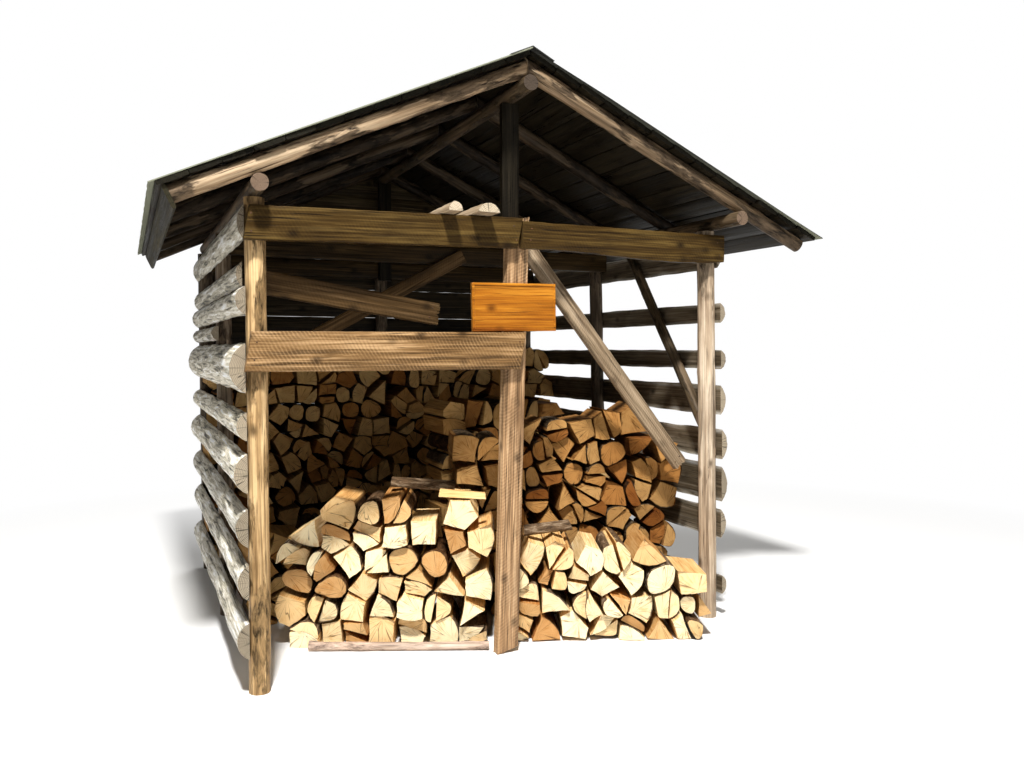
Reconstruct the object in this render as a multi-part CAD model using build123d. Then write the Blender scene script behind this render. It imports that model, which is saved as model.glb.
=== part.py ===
"""Open-fronted log store: a frame of peeled poles and rough planks, slab walls, a gable
roof of boards and sheet on pole rafters, and ranks of split firewood inside.

Millimetres. X runs along the open front, Y runs into the store, Z is up.
The origin is on the ground, at the foot of the front centre post.
"""
from build123d import *
import math
import os
import random

os.makedirs("parts", exist_ok=True)

# Clearances
SEAT = 0.3  # between a piece and what it rests on or is nailed to
LOG_GAP = 0.6  # between neighbouring pieces of firewood
MARGIN = 20  # run of a tool or a pole past the cut that trims it
BOARD_GAP = 3.0  # between neighbouring roof boards

# Plan of the posts
LEFT_BAY = 1260  # front centre post to front left post, centre to centre
RIGHT_BAY = 1349  # front centre post to front right post, at the ground
MIDDLE_ROW = 1270  # front row of posts to middle row
BACK_ROW = 2450  # front row of posts to back row
RIGHT_WALL_LEAN = 1.1  # degrees, the top leans towards the middle
CENTER_POST_LEAN = 1.6  # degrees, the top leans to the right

# Posts
LEFT_POST_DIA = 100
RIGHT_POST_DIA = 105
MIDDLE_POST_DIA = 95
BACK_POST_DIA = 100
CENTER_POST_WIDTH = 120
CENTER_POST_THICKNESS = 60
POST_TOP = 2296

# Tie beams and king posts
TIE_DROP = 15  # tops of the ties below the post tops, so that the plates clear them
TIE_THICKNESS = 45
LEFT_TIE_HEIGHT = 157
LEFT_TIE_DROP = 30  # how far the outer end hangs below the inner end
RIGHT_TIE_HEIGHT = 142
RIGHT_TIE_DROP = 15  # the right plank sits this much lower
TIE_SWELL = 26  # depth of the uncut swelling on the right plank's lower edge
TIE_END_PAST_POST = 10
INNER_TIE_HEIGHT = 120
INNER_TIE_THICKNESS = 40
KING_POST_WIDTH = 95
KING_POST_THICKNESS = 45
KING_POST_LAP = 140  # how far a king post runs down behind its tie

# Roof poles
PLATE_DIA = 78
RIDGE_DIA = 80
RIDGE_X = 45
ROOF_RISE = 634  # middle of the ridge pole above the post tops
RIGHT_PLATE_OUT = 20  # right plate pole beyond the top of its posts
LEFT_PLATE_FRONT = 190  # how far each pole runs out in front of the posts
RIGHT_PLATE_FRONT = 300
RIDGE_FRONT = 225

# Rafters, boards and sheets
RAFTER_DIA = 82
RAFTER_COUNT = 5
FRONT_RAFTER = 150  # first pair of rafters, in front of the posts
FRONT_RAFTER_SKEW = 95  # the right front rafter's foot is this much further forward
LEFT_RAFTER_TAIL = 365  # rafter below its seat on the plate pole
RIGHT_RAFTER_TAIL = 467
BOARD_WIDTH = 150
BOARD_THICKNESS = 24
BOARD_EAVE = 40  # boards beyond the ends of the rafters
RIDGE_BOARD_FRONT = 232  # boards in front of the post line, at the ridge
LEFT_EAVE_BOARD_FRONT = 212
RIGHT_EAVE_BOARD_FRONT = 335
BOARD_BACK = 160  # boards behind the back wall
BOARD_STAGGER = 14  # uneven board ends
SHEET_THICKNESS = 5
SHEET_EAVE = 22  # sheet beyond the boards
SHEET_FRONT = 18
EAVE_BOARD_WIDTH = 106  # board on the ends of the left rafters
EAVE_BOARD_THICKNESS = 20
CAP_WIDTH = 130  # each leg of the ridge cap
CAP_THICKNESS = 4

# Boards on the front
LOWER_BOARD_BOTTOM = 1500
LOWER_BOARD_HEIGHT = 192
LOWER_BOARD_DROP = 6  # how far its left end is narrower
LOWER_BOARD_THICKNESS = 42
LOWER_BOARD_LEFT_END = 60  # past the centre of the left post
LOWER_BOARD_RIGHT_END = 84  # past the foot of the centre post
SIGN_WIDTH = 478
SIGN_OFFSET = -20  # its middle from the middle line of the centre post
SIGN_ABOVE_BOARD = 6
SIGN_HEIGHT = 248
SIGN_THICKNESS = 22
SIGN_TURN = 0.9  # degrees
SIGN_BORDER = 14  # flat edge round the routed face
SIGN_ROUT = 3
LOOSE_BOARD_LENGTH = 960
LOOSE_BOARD_LEFT_END = 30  # past the centre of the left post
LOOSE_BOARD_WIDTH = 113
LOOSE_BOARD_THICKNESS = 30
LOOSE_BOARD_TOP = 1985
LOOSE_BOARD_SLOPE = 8.8  # degrees
LOFT_SLABS = ((-348, 72, 42), (-173, 118, 46))  # place along the tie, width, thickness
LOFT_SLAB_FRONT = 205
LOFT_SLAB_BACK = 160  # how far a loft slab runs on past the middle tie

# Braces
FRONT_BRACE_WIDTH = 92
FRONT_BRACE_THICKNESS = 38
FRONT_BRACE_TOP_X = 80
FRONT_BRACE_TOP_DROP = 26  # below the tops of the ties
FRONT_BRACE_FOOT = (1190, 915)
INNER_BRACE_WIDTH = 92
INNER_BRACE_THICKNESS = 36
INNER_BRACE_FOOT_HEIGHT = 1400
INNER_BRACE_TOP_X = 230
POLE_BRACE_DIA = 65
POLE_BRACE_FOOT_HEIGHT = 1120
POLE_BRACE_TOP_Y = 900

# Slabs of the side walls: lower edge, upper edge, thickness, front end, reach past the back row
LEFT_SLABS = (
    (2095, 2258, 34, -45, 70),
    (1894, 2009, 30, 40, 70),
    (1761, 1889, 48, -70, 50),
    (1402, 1632, 74, -45, 80),
    (1186, 1315, 50, -60, 60),
    (943, 1127, 60, -65, 75),
    (700, 868, 55, -60, 65),
    (455, 618, 50, -70, 50),
    (180, 346, 58, -60, 70),
)
SHORT_SLAB = (1655, 1742, 40, 1120, 70)
RIGHT_SLABS = (
    (2082, 2232, 30, -40, 70),
    (1760, 1875, 34, -66, 60),
    (1486, 1600, 36, -70, 75),
    (1217, 1390, 40, -64, 50),
    (956, 1127, 38, -75, 70),
    (696, 912, 42, -70, 60),
    (477, 654, 36, -62, 80),
    (146, 253, 34, -70, 55),
)

# Boards of the back wall
BACK_BOARD_THICKNESS = 26
BACK_BOARD_FIRST = 70
BACK_BOARD_HEIGHTS = (200, 225, 210, 238, 216, 204, 230, 220, 212, 221)
BACK_BOARD_GAP = 6
GABLE_BOARD_HEIGHT = 165
GABLE_BOARD_GAP = 4
GABLE_REACH = 0.4  # share of the rafter tails that the gable boards cover

# Firewood
LOG_LENGTH = 400
LOG_SIZE = 150  # middle distance of neighbouring pieces in a rank
BACK_LOG_SIZE = 138
INNER_LOG_SIZE = 175
LOG_SETBACK = 26  # how uneven the face of a rank is
SHORTEST_SIDE = 0.24  # of a log's end, as a share of its size
FRONT_RANK_TURN = -24.0  # degrees, the front rank is laid askew
FRONT_RANK_PIVOT = (20, 25)
FRONT_RANK_LEFT = 1230  # reach of the front rank from the pivot
FRONT_RANK_RIGHT = 1160
FRONT_RANK_SPLIT = -60
FRONT_RANK_STEP = 60  # the right part stands further back
RIGHT_MIDDLE_RANK_TURN = -16.0  # degrees, about the same pivot
RIGHT_MIDDLE_RANK_LEFT = 240
RANK_SPACE = 7  # between a rank and the nearest corner of the one in front
# Heights of the ranks, evenly spaced from left to right
BACK_LEFT_HEIGHTS = (1500, 1560, 1600)
BACK_RIGHT_HEIGHTS = (1600, 1700, 1690, 1560)
MIDDLE_LEFT_HEIGHTS = (560, 420, 640)
MIDDLE_RIGHT_HEIGHTS = (1050, 1170, 1290, 1260, 1090)
INNER_LEFT_HEIGHTS = (620, 470, 700)
INNER_RIGHT_HEIGHTS = (1200, 1280, 1150)
FRONT_LEFT_HEIGHTS = (700, 800, 720)
FRONT_RIGHT_HEIGHTS = (520, 560, 430)
# Splits on the front ranks: left end, right end, middle, width, height, ridge off the middle
LOOSE_LEFT_SPLITS = (
    (-640, -280, 215, 135, 80, 0.1),
    (-400, -105, 72, 62, 42, -0.2),
)
LOOSE_RIGHT_SPLITS = ((95, 370, 245, 120, 88, -0.1),)
BASE_POLE_DIA = 46
BASE_POLE_LENGTH = 960
BASE_POLE_RIGHT_END = 88  # from the pivot of the front rank

# Worked out from the sizes above
TIE_TOP = POST_TOP - TIE_DROP
RIDGE_HEIGHT = POST_TOP + ROOF_RISE
FRONT_FACE = -LEFT_POST_DIA / 2
LEFT_FACE = -LEFT_BAY - LEFT_POST_DIA / 2
RIGHT_FACE = RIGHT_BAY + RIGHT_POST_DIA / 2
BACK_FACE = BACK_ROW + BACK_POST_DIA / 2
RIGHT_WALL_TOP_X = RIGHT_BAY - POST_TOP * math.tan(math.radians(RIGHT_WALL_LEAN))
CENTER_TOP_X = POST_TOP * math.tan(math.radians(CENTER_POST_LEAN))
PLATE_HEIGHT = POST_TOP + PLATE_DIA / 2 + SEAT
LEFT_PLATE_X = -LEFT_BAY
RIGHT_PLATE_X = RIGHT_WALL_TOP_X + RIGHT_PLATE_OUT
MIDDLE_TIE_Y = MIDDLE_ROW - MIDDLE_POST_DIA / 2 - SEAT - INNER_TIE_THICKNESS
BACK_TIE_Y = BACK_ROW - BACK_POST_DIA / 2 - SEAT - INNER_TIE_THICKNESS


def save(name, *solids):
    """Write one node as a STEP file."""
    shape = solids[0] if len(solids) == 1 else Compound(children=list(solids))
    shape.label = name
    export_step(shape, f"parts/{name}.step")


def prism(points, run):
    """Extrude a closed outline of 3-D points by the vector run."""
    return Solid.extrude(Face(Wire.make_polygon(points)), Vector(*run))


def upright_prism(outline, y_front, y_back):
    """Extrude an outline in X and Z from y_front to y_back."""
    points = [(x, y_front, z) for x, z in outline]
    return prism(points, (0, y_back - y_front, 0))


def pole(start, end, start_dia, end_dia):
    """Round pole that tapers from one end to the other."""
    start = Vector(*start)
    axis = Vector(*end) - start
    plane = Plane(origin=start, z_dir=axis)
    if abs(start_dia - end_dia) < 0.01:
        return Solid.make_cylinder(start_dia / 2, axis.length, plane)
    return Solid.make_cone(start_dia / 2, end_dia / 2, axis.length, plane)


def board_between(start, end, width, y_front, thickness):
    """Flat board in an upright plane; start and end are X and Z on its middle line."""
    dx = end[0] - start[0]
    dz = end[1] - start[1]
    length = math.hypot(dx, dz)
    nx = -dz / length * width / 2
    nz = dx / length * width / 2
    outline = [
        (start[0] - nx, start[1] - nz),
        (end[0] - nx, end[1] - nz),
        (end[0] + nx, end[1] + nz),
        (start[0] + nx, start[1] + nz),
    ]
    return upright_prism(outline, y_front, y_front + thickness)


def slab(face_x, out, low, high, thickness, y_front, y_back):
    """Slab sawn off a log: flat on the side of the posts and round on the outside."""
    middle = (low + high) / 2
    bottom = Vector(face_x, y_front, low)
    top = Vector(face_x, y_front, high)
    crown = Vector(face_x + out * thickness, y_front, middle)
    flat_side = Edge.make_line(bottom, top)
    round_side = Edge.make_three_point_arc(top, crown, bottom)
    return Solid.extrude(Face(Wire([flat_side, round_side])), Vector(0, y_back - y_front, 0))


def lean_right_wall(solid):
    """Lean a piece of the right wall about the line of its post feet."""
    there = Location((RIGHT_BAY, 0, 0)) * Location((0, 0, 0), (0, -RIGHT_WALL_LEAN, 0))
    back = Location((-RIGHT_BAY, 0, 0))
    return solid.moved(there * back)


def lean_center(x, z):
    """X at height z of a line that starts at x and leans with the centre post."""
    return x + z * math.tan(math.radians(CENTER_POST_LEAN))


WORKSPACE = 8000  # side of a box larger than the whole store
WORKSPACE_CORNER = Location((-WORKSPACE / 2, -WORKSPACE / 2, 0))
BELOW_POST_TOP = Solid.make_box(WORKSPACE, WORKSPACE, POST_TOP).moved(WORKSPACE_CORNER)


def make_posts():
    """Round posts at the sides and the back, and a plank post in the middle of the front."""
    rows = (
        ("front", LEFT_POST_DIA, RIGHT_POST_DIA, None),
        ("middle", MIDDLE_POST_DIA, MIDDLE_POST_DIA, MIDDLE_ROW),
        ("back", BACK_POST_DIA, BACK_POST_DIA, BACK_ROW),
    )
    for row, left_dia, right_dia, row_y in rows:
        left_y = FRONT_FACE + left_dia / 2 if row_y is None else row_y
        right_y = FRONT_FACE + right_dia / 2 if row_y is None else row_y
        left_x = LEFT_FACE + left_dia / 2
        right_x = RIGHT_FACE - right_dia / 2
        left = pole((left_x, left_y, 0), (left_x, left_y, POST_TOP), left_dia, left_dia)
        save(f"{row}_left_post", left)
        foot = (right_x, right_y, -MARGIN)
        head = (right_x, right_y, POST_TOP + MARGIN)
        right = pole(foot, head, right_dia, right_dia)
        save(f"{row}_right_post", lean_right_wall(right) & BELOW_POST_TOP)

    half = CENTER_POST_WIDTH / 2
    outline = [
        (-half, 0),
        (half, 0),
        (lean_center(half, POST_TOP), POST_TOP),
        (lean_center(-half, POST_TOP), POST_TOP),
    ]
    save("front_center_post", upright_prism(outline, FRONT_FACE, FRONT_FACE + CENTER_POST_THICKNESS))
    x = RIDGE_X
    save("back_center_post", pole((x, BACK_ROW, 0), (x, BACK_ROW, POST_TOP), BACK_POST_DIA, BACK_POST_DIA))


def left_tie_top(x):
    """Height of the sloping top edge of the front left tie plank."""
    share = (CENTER_TOP_X - x) / (CENTER_TOP_X - LEFT_FACE)
    return TIE_TOP - LEFT_TIE_DROP * share


def make_ties():
    """Two rough planks across the front, and a plank across the middle and back posts."""
    y_back = FRONT_FACE - SEAT
    y_front = y_back - TIE_THICKNESS
    x_left = LEFT_FACE - TIE_END_PAST_POST
    x_joint = CENTER_TOP_X - SEAT
    outline = [
        (x_left, left_tie_top(x_left) - LEFT_TIE_HEIGHT),
        (x_joint, left_tie_top(x_joint) - LEFT_TIE_HEIGHT),
        (x_joint, left_tie_top(x_joint)),
        (x_left, left_tie_top(x_left)),
    ]
    save("front_left_tie", upright_prism(outline, y_front, y_back))

    x_start = CENTER_TOP_X + SEAT
    x_end = RIGHT_WALL_TOP_X + RIGHT_POST_DIA / 2 + TIE_END_PAST_POST
    top = TIE_TOP - RIGHT_TIE_DROP
    low = top - RIGHT_TIE_HEIGHT
    span = x_end - x_start
    lower_edge = Edge.make_spline([
        Vector(x_start, y_front, low),
        Vector(x_start + span * 0.35, y_front, low - TIE_SWELL * 0.25),
        Vector(x_start + span * 0.8, y_front, low - TIE_SWELL),
        Vector(x_end, y_front, low - TIE_SWELL * 0.45),
    ])
    right_end = Edge.make_line(Vector(x_end, y_front, low - TIE_SWELL * 0.45), Vector(x_end, y_front, top))
    upper_edge = Edge.make_line(Vector(x_end, y_front, top), Vector(x_start, y_front, top))
    left_end = Edge.make_line(Vector(x_start, y_front, top), Vector(x_start, y_front, low))
    face = Face(Wire([lower_edge, right_end, upper_edge, left_end]))
    save("front_right_tie", Solid.extrude(face, Vector(0, TIE_THICKNESS, 0)))

    for name, y in (("middle_tie", MIDDLE_TIE_Y), ("back_tie", BACK_TIE_Y)):
        outline = [
            (LEFT_FACE, TIE_TOP - INNER_TIE_HEIGHT),
            (RIGHT_WALL_TOP_X + MIDDLE_POST_DIA / 2, TIE_TOP - INNER_TIE_HEIGHT),
            (RIGHT_WALL_TOP_X + MIDDLE_POST_DIA / 2, TIE_TOP),
            (LEFT_FACE, TIE_TOP),
        ]
        save(name, upright_prism(outline, y, y + INNER_TIE_THICKNESS))


def make_king_posts():
    """Boards that carry the ridge pole over the front and back ties."""
    top = RIDGE_HEIGHT - RIDGE_DIA / 2 - SEAT
    half = KING_POST_WIDTH / 2
    front_y = FRONT_FACE + CENTER_POST_THICKNESS + SEAT
    outline = [
        (RIDGE_X - half, TIE_TOP - KING_POST_LAP),
        (RIDGE_X + half, TIE_TOP - KING_POST_LAP),
        (RIDGE_X + half, top),
        (RIDGE_X - half, top),
    ]
    save("front_king_post", upright_prism(outline, front_y, front_y + KING_POST_THICKNESS))
    back_y = BACK_TIE_Y - SEAT - KING_POST_THICKNESS
    save("back_king_post", upright_prism(outline, back_y, back_y + KING_POST_THICKNESS))


def make_roof_poles():
    """Plate poles on the post tops and the ridge pole on the king posts."""
    poles = (
        ("left_plate_pole", LEFT_PLATE_X, PLATE_HEIGHT, PLATE_DIA, LEFT_PLATE_FRONT),
        ("right_plate_pole", RIGHT_PLATE_X, PLATE_HEIGHT, PLATE_DIA, RIGHT_PLATE_FRONT),
        ("ridge_pole", RIDGE_X, RIDGE_HEIGHT, RIDGE_DIA, RIDGE_FRONT),
    )
    for name, x, z, dia, front in poles:
        save(name, pole((x, -front, z), (x, BACK_FACE, z), dia, dia))


class Slope:
    """One side of the roof, in distances along and square to the rafters' lower edge."""

    def __init__(self, plate_x, inward, tail, eave_front, skew):
        self.plate_x = plate_x
        self.inward = inward
        self.tail = tail
        self.eave_front = eave_front
        self.skew = skew
        run = abs(RIDGE_X - plate_x)
        rise = RIDGE_HEIGHT - PLATE_HEIGHT
        radius_step = (RIDGE_DIA - PLATE_DIA) / 2
        self.angle = math.atan2(rise, run) + math.asin(radius_step / math.hypot(run, rise))
        seat_radius = PLATE_DIA / 2 + SEAT
        self.seat_run = -math.sin(self.angle) * seat_radius
        self.seat_height = PLATE_HEIGHT + math.cos(self.angle) * seat_radius

    def point(self, along, above):
        """X and Z at a distance up the slope and above the rafters' lower edge."""
        run = self.seat_run + along * math.cos(self.angle) - above * math.sin(self.angle)
        z = self.seat_height + along * math.sin(self.angle) + above * math.cos(self.angle)
        return self.plate_x + self.inward * run, z

    def ridge_along(self, above):
        """Distance up the slope, at a height above the rafters' lower edge, of the ridge line."""
        run = abs(RIDGE_X - self.plate_x) - self.seat_run + above * math.sin(self.angle)
        return (run - SEAT) / math.cos(self.angle)

    def front(self, along):
        """How far the boards run out in front at a distance up the slope."""
        share = (along + self.tail) / (self.ridge_along(RAFTER_DIA) + self.tail)
        return self.eave_front + share * (RIDGE_BOARD_FRONT - self.eave_front)


LEFT_SLOPE = Slope(LEFT_PLATE_X, 1, LEFT_RAFTER_TAIL, LEFT_EAVE_BOARD_FRONT, 0)
RIGHT_SLOPE = Slope(RIGHT_PLATE_X, -1, RIGHT_RAFTER_TAIL, RIGHT_EAVE_BOARD_FRONT, FRONT_RAFTER_SKEW)
RAFTER_PITCH = (BACK_ROW + FRONT_RAFTER) / (RAFTER_COUNT - 1)
BOARD_LEVEL = RAFTER_DIA + SEAT
SHEET_LEVEL = BOARD_LEVEL + BOARD_THICKNESS + SEAT
CAP_LEVEL = SHEET_LEVEL + SHEET_THICKNESS + SEAT


def make_rafters(name, slope):
    """Peeled poles with a plumb cut where the two sides meet."""
    past_ridge = RAFTER_DIA
    head = slope.point(slope.ridge_along(RAFTER_DIA) + past_ridge, RAFTER_DIA / 2)
    foot = slope.point(-slope.tail, RAFTER_DIA / 2)
    keep_x = RIDGE_X - SEAT - WORKSPACE if slope.inward > 0 else RIDGE_X + SEAT
    own_side = Solid.make_box(WORKSPACE, WORKSPACE, WORKSPACE).moved(Location((keep_x, -WORKSPACE / 2, 0)))
    rafters = []
    for index in range(RAFTER_COUNT):
        y = index * RAFTER_PITCH - FRONT_RAFTER
        foot_y = y - slope.skew if index == 0 else y
        whole = pole((foot[0], foot_y, foot[1]), (head[0], y, head[1]), RAFTER_DIA, RAFTER_DIA)
        rafters.append(whole & own_side)
    save(name, *rafters)


def make_roof_boards(name, slope, seed):
    """Boards laid from front to back across the rafters, with uneven front ends."""
    rng = random.Random(seed)
    low = -slope.tail - BOARD_EAVE
    length = slope.ridge_along(BOARD_LEVEL) - low
    count = round(length / BOARD_WIDTH)
    pitch = length / count
    boards = []
    for index in range(count):
        start = low + index * pitch + BOARD_GAP
        end = low + (index + 1) * pitch
        outline = [
            slope.point(start, BOARD_LEVEL),
            slope.point(end, BOARD_LEVEL),
            slope.point(end, BOARD_LEVEL + BOARD_THICKNESS),
            slope.point(start, BOARD_LEVEL + BOARD_THICKNESS),
        ]
        front = rng.uniform(0, BOARD_STAGGER) - slope.front(end)
        back = BACK_FACE + BOARD_BACK - rng.uniform(0, BOARD_STAGGER)
        boards.append(upright_prism(outline, front, back))
    save(name, *boards)


def make_roof_sheet(name, slope):
    """Thin roofing sheet on the boards, over their ends by a little at the front and the eave."""
    start = -slope.tail - BOARD_EAVE - SHEET_EAVE
    end = slope.ridge_along(SHEET_LEVEL)
    back = BACK_FACE + BOARD_BACK + SHEET_FRONT
    eave_x, eave_z = slope.point(start, SHEET_LEVEL)
    ridge_x, ridge_z = slope.point(end, SHEET_LEVEL)
    corners = [
        (eave_x, -slope.front(start) - SHEET_FRONT, eave_z),
        (ridge_x, -slope.front(end) - SHEET_FRONT, ridge_z),
        (ridge_x, back, ridge_z),
        (eave_x, back, eave_z),
    ]
    top_x, top_z = slope.point(start, SHEET_LEVEL + SHEET_THICKNESS)
    save(name, prism(corners, (top_x - eave_x, 0, top_z - eave_z)))


def make_eave_board():
    """Thin board nailed on the ends of the left rafters, under the roof boards."""
    high = BOARD_LEVEL - SEAT
    inner = -LEFT_RAFTER_TAIL - SEAT
    outline = [
        LEFT_SLOPE.point(inner - EAVE_BOARD_THICKNESS, high - EAVE_BOARD_WIDTH),
        LEFT_SLOPE.point(inner, high - EAVE_BOARD_WIDTH),
        LEFT_SLOPE.point(inner, high),
        LEFT_SLOPE.point(inner - EAVE_BOARD_THICKNESS, high),
    ]
    front = BOARD_STAGGER - LEFT_EAVE_BOARD_FRONT
    save("left_eave_board", upright_prism(outline, front, BACK_FACE + BOARD_BACK - BOARD_STAGGER))


def make_ridge_cap():
    """Bent strip over the joint of the two sheets."""
    high = CAP_LEVEL + CAP_THICKNESS
    left_end = LEFT_SLOPE.ridge_along(CAP_LEVEL) - CAP_WIDTH
    right_end = RIGHT_SLOPE.ridge_along(CAP_LEVEL) - CAP_WIDTH
    slopes = (LEFT_SLOPE, RIGHT_SLOPE)
    low_z = max(slope.point(slope.ridge_along(CAP_LEVEL), CAP_LEVEL)[1] for slope in slopes)
    points = [
        LEFT_SLOPE.point(left_end, CAP_LEVEL),
        (RIDGE_X, low_z + SEAT),
        RIGHT_SLOPE.point(right_end, CAP_LEVEL),
        RIGHT_SLOPE.point(right_end, high),
        (RIDGE_X, low_z + SEAT + CAP_THICKNESS / math.cos(RIGHT_SLOPE.angle)),
        LEFT_SLOPE.point(left_end, high),
    ]
    front = -RIDGE_BOARD_FRONT - SHEET_FRONT
    save("ridge_cap", upright_prism(points, front, BACK_FACE + BOARD_BACK + SHEET_FRONT))


def make_front_boards():
    """The lower board, the bare sign board and the loose board behind the left post."""
    y_back = FRONT_FACE - SEAT
    y_front = y_back - LOWER_BOARD_THICKNESS
    top = LOWER_BOARD_BOTTOM + LOWER_BOARD_HEIGHT
    left = -LEFT_BAY - LOWER_BOARD_LEFT_END
    outline = [
        (left, LOWER_BOARD_BOTTOM),
        (LOWER_BOARD_RIGHT_END, LOWER_BOARD_BOTTOM),
        (LOWER_BOARD_RIGHT_END, top),
        (left, top - LOWER_BOARD_DROP),
    ]
    save("lower_front_board", upright_prism(outline, y_front, y_back))

    center_z = top + SIGN_ABOVE_BOARD + SIGN_HEIGHT / 2
    center_x = lean_center(SIGN_OFFSET, center_z)
    board = Solid.make_box(SIGN_WIDTH, SIGN_THICKNESS, SIGN_HEIGHT)
    rout_width = SIGN_WIDTH - 2 * SIGN_BORDER
    rout_height = SIGN_HEIGHT - 2 * SIGN_BORDER
    rout = Solid.make_box(rout_width, SIGN_ROUT, rout_height).moved(Location((SIGN_BORDER, 0, SIGN_BORDER)))
    board = (board - rout).moved(Location((-SIGN_WIDTH / 2, 0, -SIGN_HEIGHT / 2)))
    turned = board.moved(Location((0, 0, 0), (0, -SIGN_TURN, 0)))
    save("sign_board", turned.moved(Location((center_x, y_back - SIGN_THICKNESS, center_z))))

    slope = math.radians(LOOSE_BOARD_SLOPE)
    x_start = -LEFT_BAY - LOOSE_BOARD_LEFT_END
    z_start = LOOSE_BOARD_TOP - LOOSE_BOARD_WIDTH / 2
    end = (
        x_start + LOOSE_BOARD_LENGTH * math.cos(slope),
        z_start - LOOSE_BOARD_LENGTH * math.sin(slope),
    )
    y = FRONT_FACE + LEFT_POST_DIA + SEAT
    save("loose_board", board_between((x_start, z_start), end, LOOSE_BOARD_WIDTH, y, LOOSE_BOARD_THICKNESS))


def make_loft_slabs():
    """Short slabs stored on the ties, with their ends out over the front."""
    slabs = []
    tie_front = FRONT_FACE - SEAT - TIE_THICKNESS
    for x, width, thickness in LOFT_SLABS:
        right = x + width / 2
        front_level = left_tie_top(right) + SEAT
        rise = (TIE_TOP + SEAT - front_level) / (MIDDLE_TIE_Y - tie_front)
        level = front_level - rise * (LOFT_SLAB_FRONT + tie_front)
        left_foot = Vector(x - width / 2, -LOFT_SLAB_FRONT, level)
        right_foot = Vector(right, -LOFT_SLAB_FRONT, level)
        crown = Vector(x, -LOFT_SLAB_FRONT, level + thickness)
        flat_side = Edge.make_line(left_foot, right_foot)
        round_side = Edge.make_three_point_arc(right_foot, crown, left_foot)
        run = LOFT_SLAB_FRONT + MIDDLE_ROW + LOFT_SLAB_BACK
        slabs.append(Solid.extrude(Face(Wire([flat_side, round_side])), Vector(0, run, run * rise)))
    save("loft_slabs", *slabs)


def make_braces():
    """Plank braces in the front and middle frames, and a pole brace in the right wall."""
    y = FRONT_FACE + CENTER_POST_THICKNESS + KING_POST_THICKNESS + 2 * SEAT
    top = (FRONT_BRACE_TOP_X, TIE_TOP - FRONT_BRACE_TOP_DROP)
    brace = board_between(top, FRONT_BRACE_FOOT, FRONT_BRACE_WIDTH, y, FRONT_BRACE_THICKNESS)
    save("front_brace", brace)

    y = MIDDLE_TIE_Y - SEAT - INNER_BRACE_THICKNESS
    start = (LEFT_FACE + MIDDLE_POST_DIA / 2, INNER_BRACE_FOOT_HEIGHT)
    end = (INNER_BRACE_TOP_X, TIE_TOP - INNER_TIE_HEIGHT / 2)
    save("inner_brace", board_between(start, end, INNER_BRACE_WIDTH, y, INNER_BRACE_THICKNESS))

    x_foot = RIGHT_BAY - POLE_BRACE_FOOT_HEIGHT * math.tan(math.radians(RIGHT_WALL_LEAN))
    foot = (x_foot, 0, POLE_BRACE_FOOT_HEIGHT)
    head = (RIGHT_PLATE_X, POLE_BRACE_TOP_Y, PLATE_HEIGHT)
    brace = pole(foot, head, POLE_BRACE_DIA, POLE_BRACE_DIA)
    post_y = FRONT_FACE + RIGHT_POST_DIA / 2
    clear_dia = RIGHT_POST_DIA + 2 * SEAT
    post = pole((RIGHT_BAY, post_y, 0), (RIGHT_BAY, post_y, POST_TOP), clear_dia, clear_dia)
    clear_dia = PLATE_DIA + 2 * SEAT
    plate = pole((RIGHT_PLATE_X, -RIGHT_PLATE_FRONT, PLATE_HEIGHT),
                 (RIGHT_PLATE_X, BACK_FACE, PLATE_HEIGHT), clear_dia, clear_dia)
    trimmed = brace - lean_right_wall(post) - plate
    save("right_wall_brace", max(trimmed.solids(), key=lambda piece: piece.volume))


def make_side_walls():
    """Slabs nailed to the outside of the side posts, with open gaps between them."""
    left = [
        slab(LEFT_FACE - SEAT, -1, low, high, thickness, front, BACK_ROW + reach)
        for low, high, thickness, front, reach in LEFT_SLABS + (SHORT_SLAB,)
    ]
    save("left_wall_slabs", *left)
    right = [
        lean_right_wall(slab(RIGHT_FACE + SEAT, 1, low, high, thickness, front, BACK_ROW + reach))
        for low, high, thickness, front, reach in RIGHT_SLABS
    ]
    save("right_wall_slabs", *right)


def make_back_wall():
    """Horizontal boards on the back posts, and boards up to the roof in the back gable."""
    y_front = BACK_FACE + SEAT
    y_back = y_front + BACK_BOARD_THICKNESS
    boards = []
    low = BACK_BOARD_FIRST
    for height in BACK_BOARD_HEIGHTS:
        high = low + height
        left = LEFT_FACE
        right = RIGHT_FACE - high * math.tan(math.radians(RIGHT_WALL_LEAN))
        outline = [(left, low), (right, low), (right, high), (left, high)]
        boards.append(upright_prism(outline, y_front, y_back))
        low = high + BACK_BOARD_GAP
    save("back_wall_boards", *boards)

    level = RAFTER_DIA - SEAT
    low = max(POST_TOP, low) + GABLE_BOARD_GAP
    left_foot = LEFT_SLOPE.point(-LEFT_RAFTER_TAIL * GABLE_REACH, level)
    right_foot = RIGHT_SLOPE.point(-RIGHT_RAFTER_TAIL * GABLE_REACH, level)
    peak_z = min(slope.point(slope.ridge_along(level), level)[1] for slope in (LEFT_SLOPE, RIGHT_SLOPE))
    gable = [left_foot, right_foot, (RIDGE_X, peak_z)]
    boards = []
    while low < peak_z - GABLE_BOARD_HEIGHT / 3:
        board = clip(clip(gable, (0, low), (0, -1)), (0, low + GABLE_BOARD_HEIGHT), (0, 1))
        boards.append(upright_prism(board, y_front, y_back))
        low += GABLE_BOARD_HEIGHT + GABLE_BOARD_GAP
    save("back_gable_boards", *boards)


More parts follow.
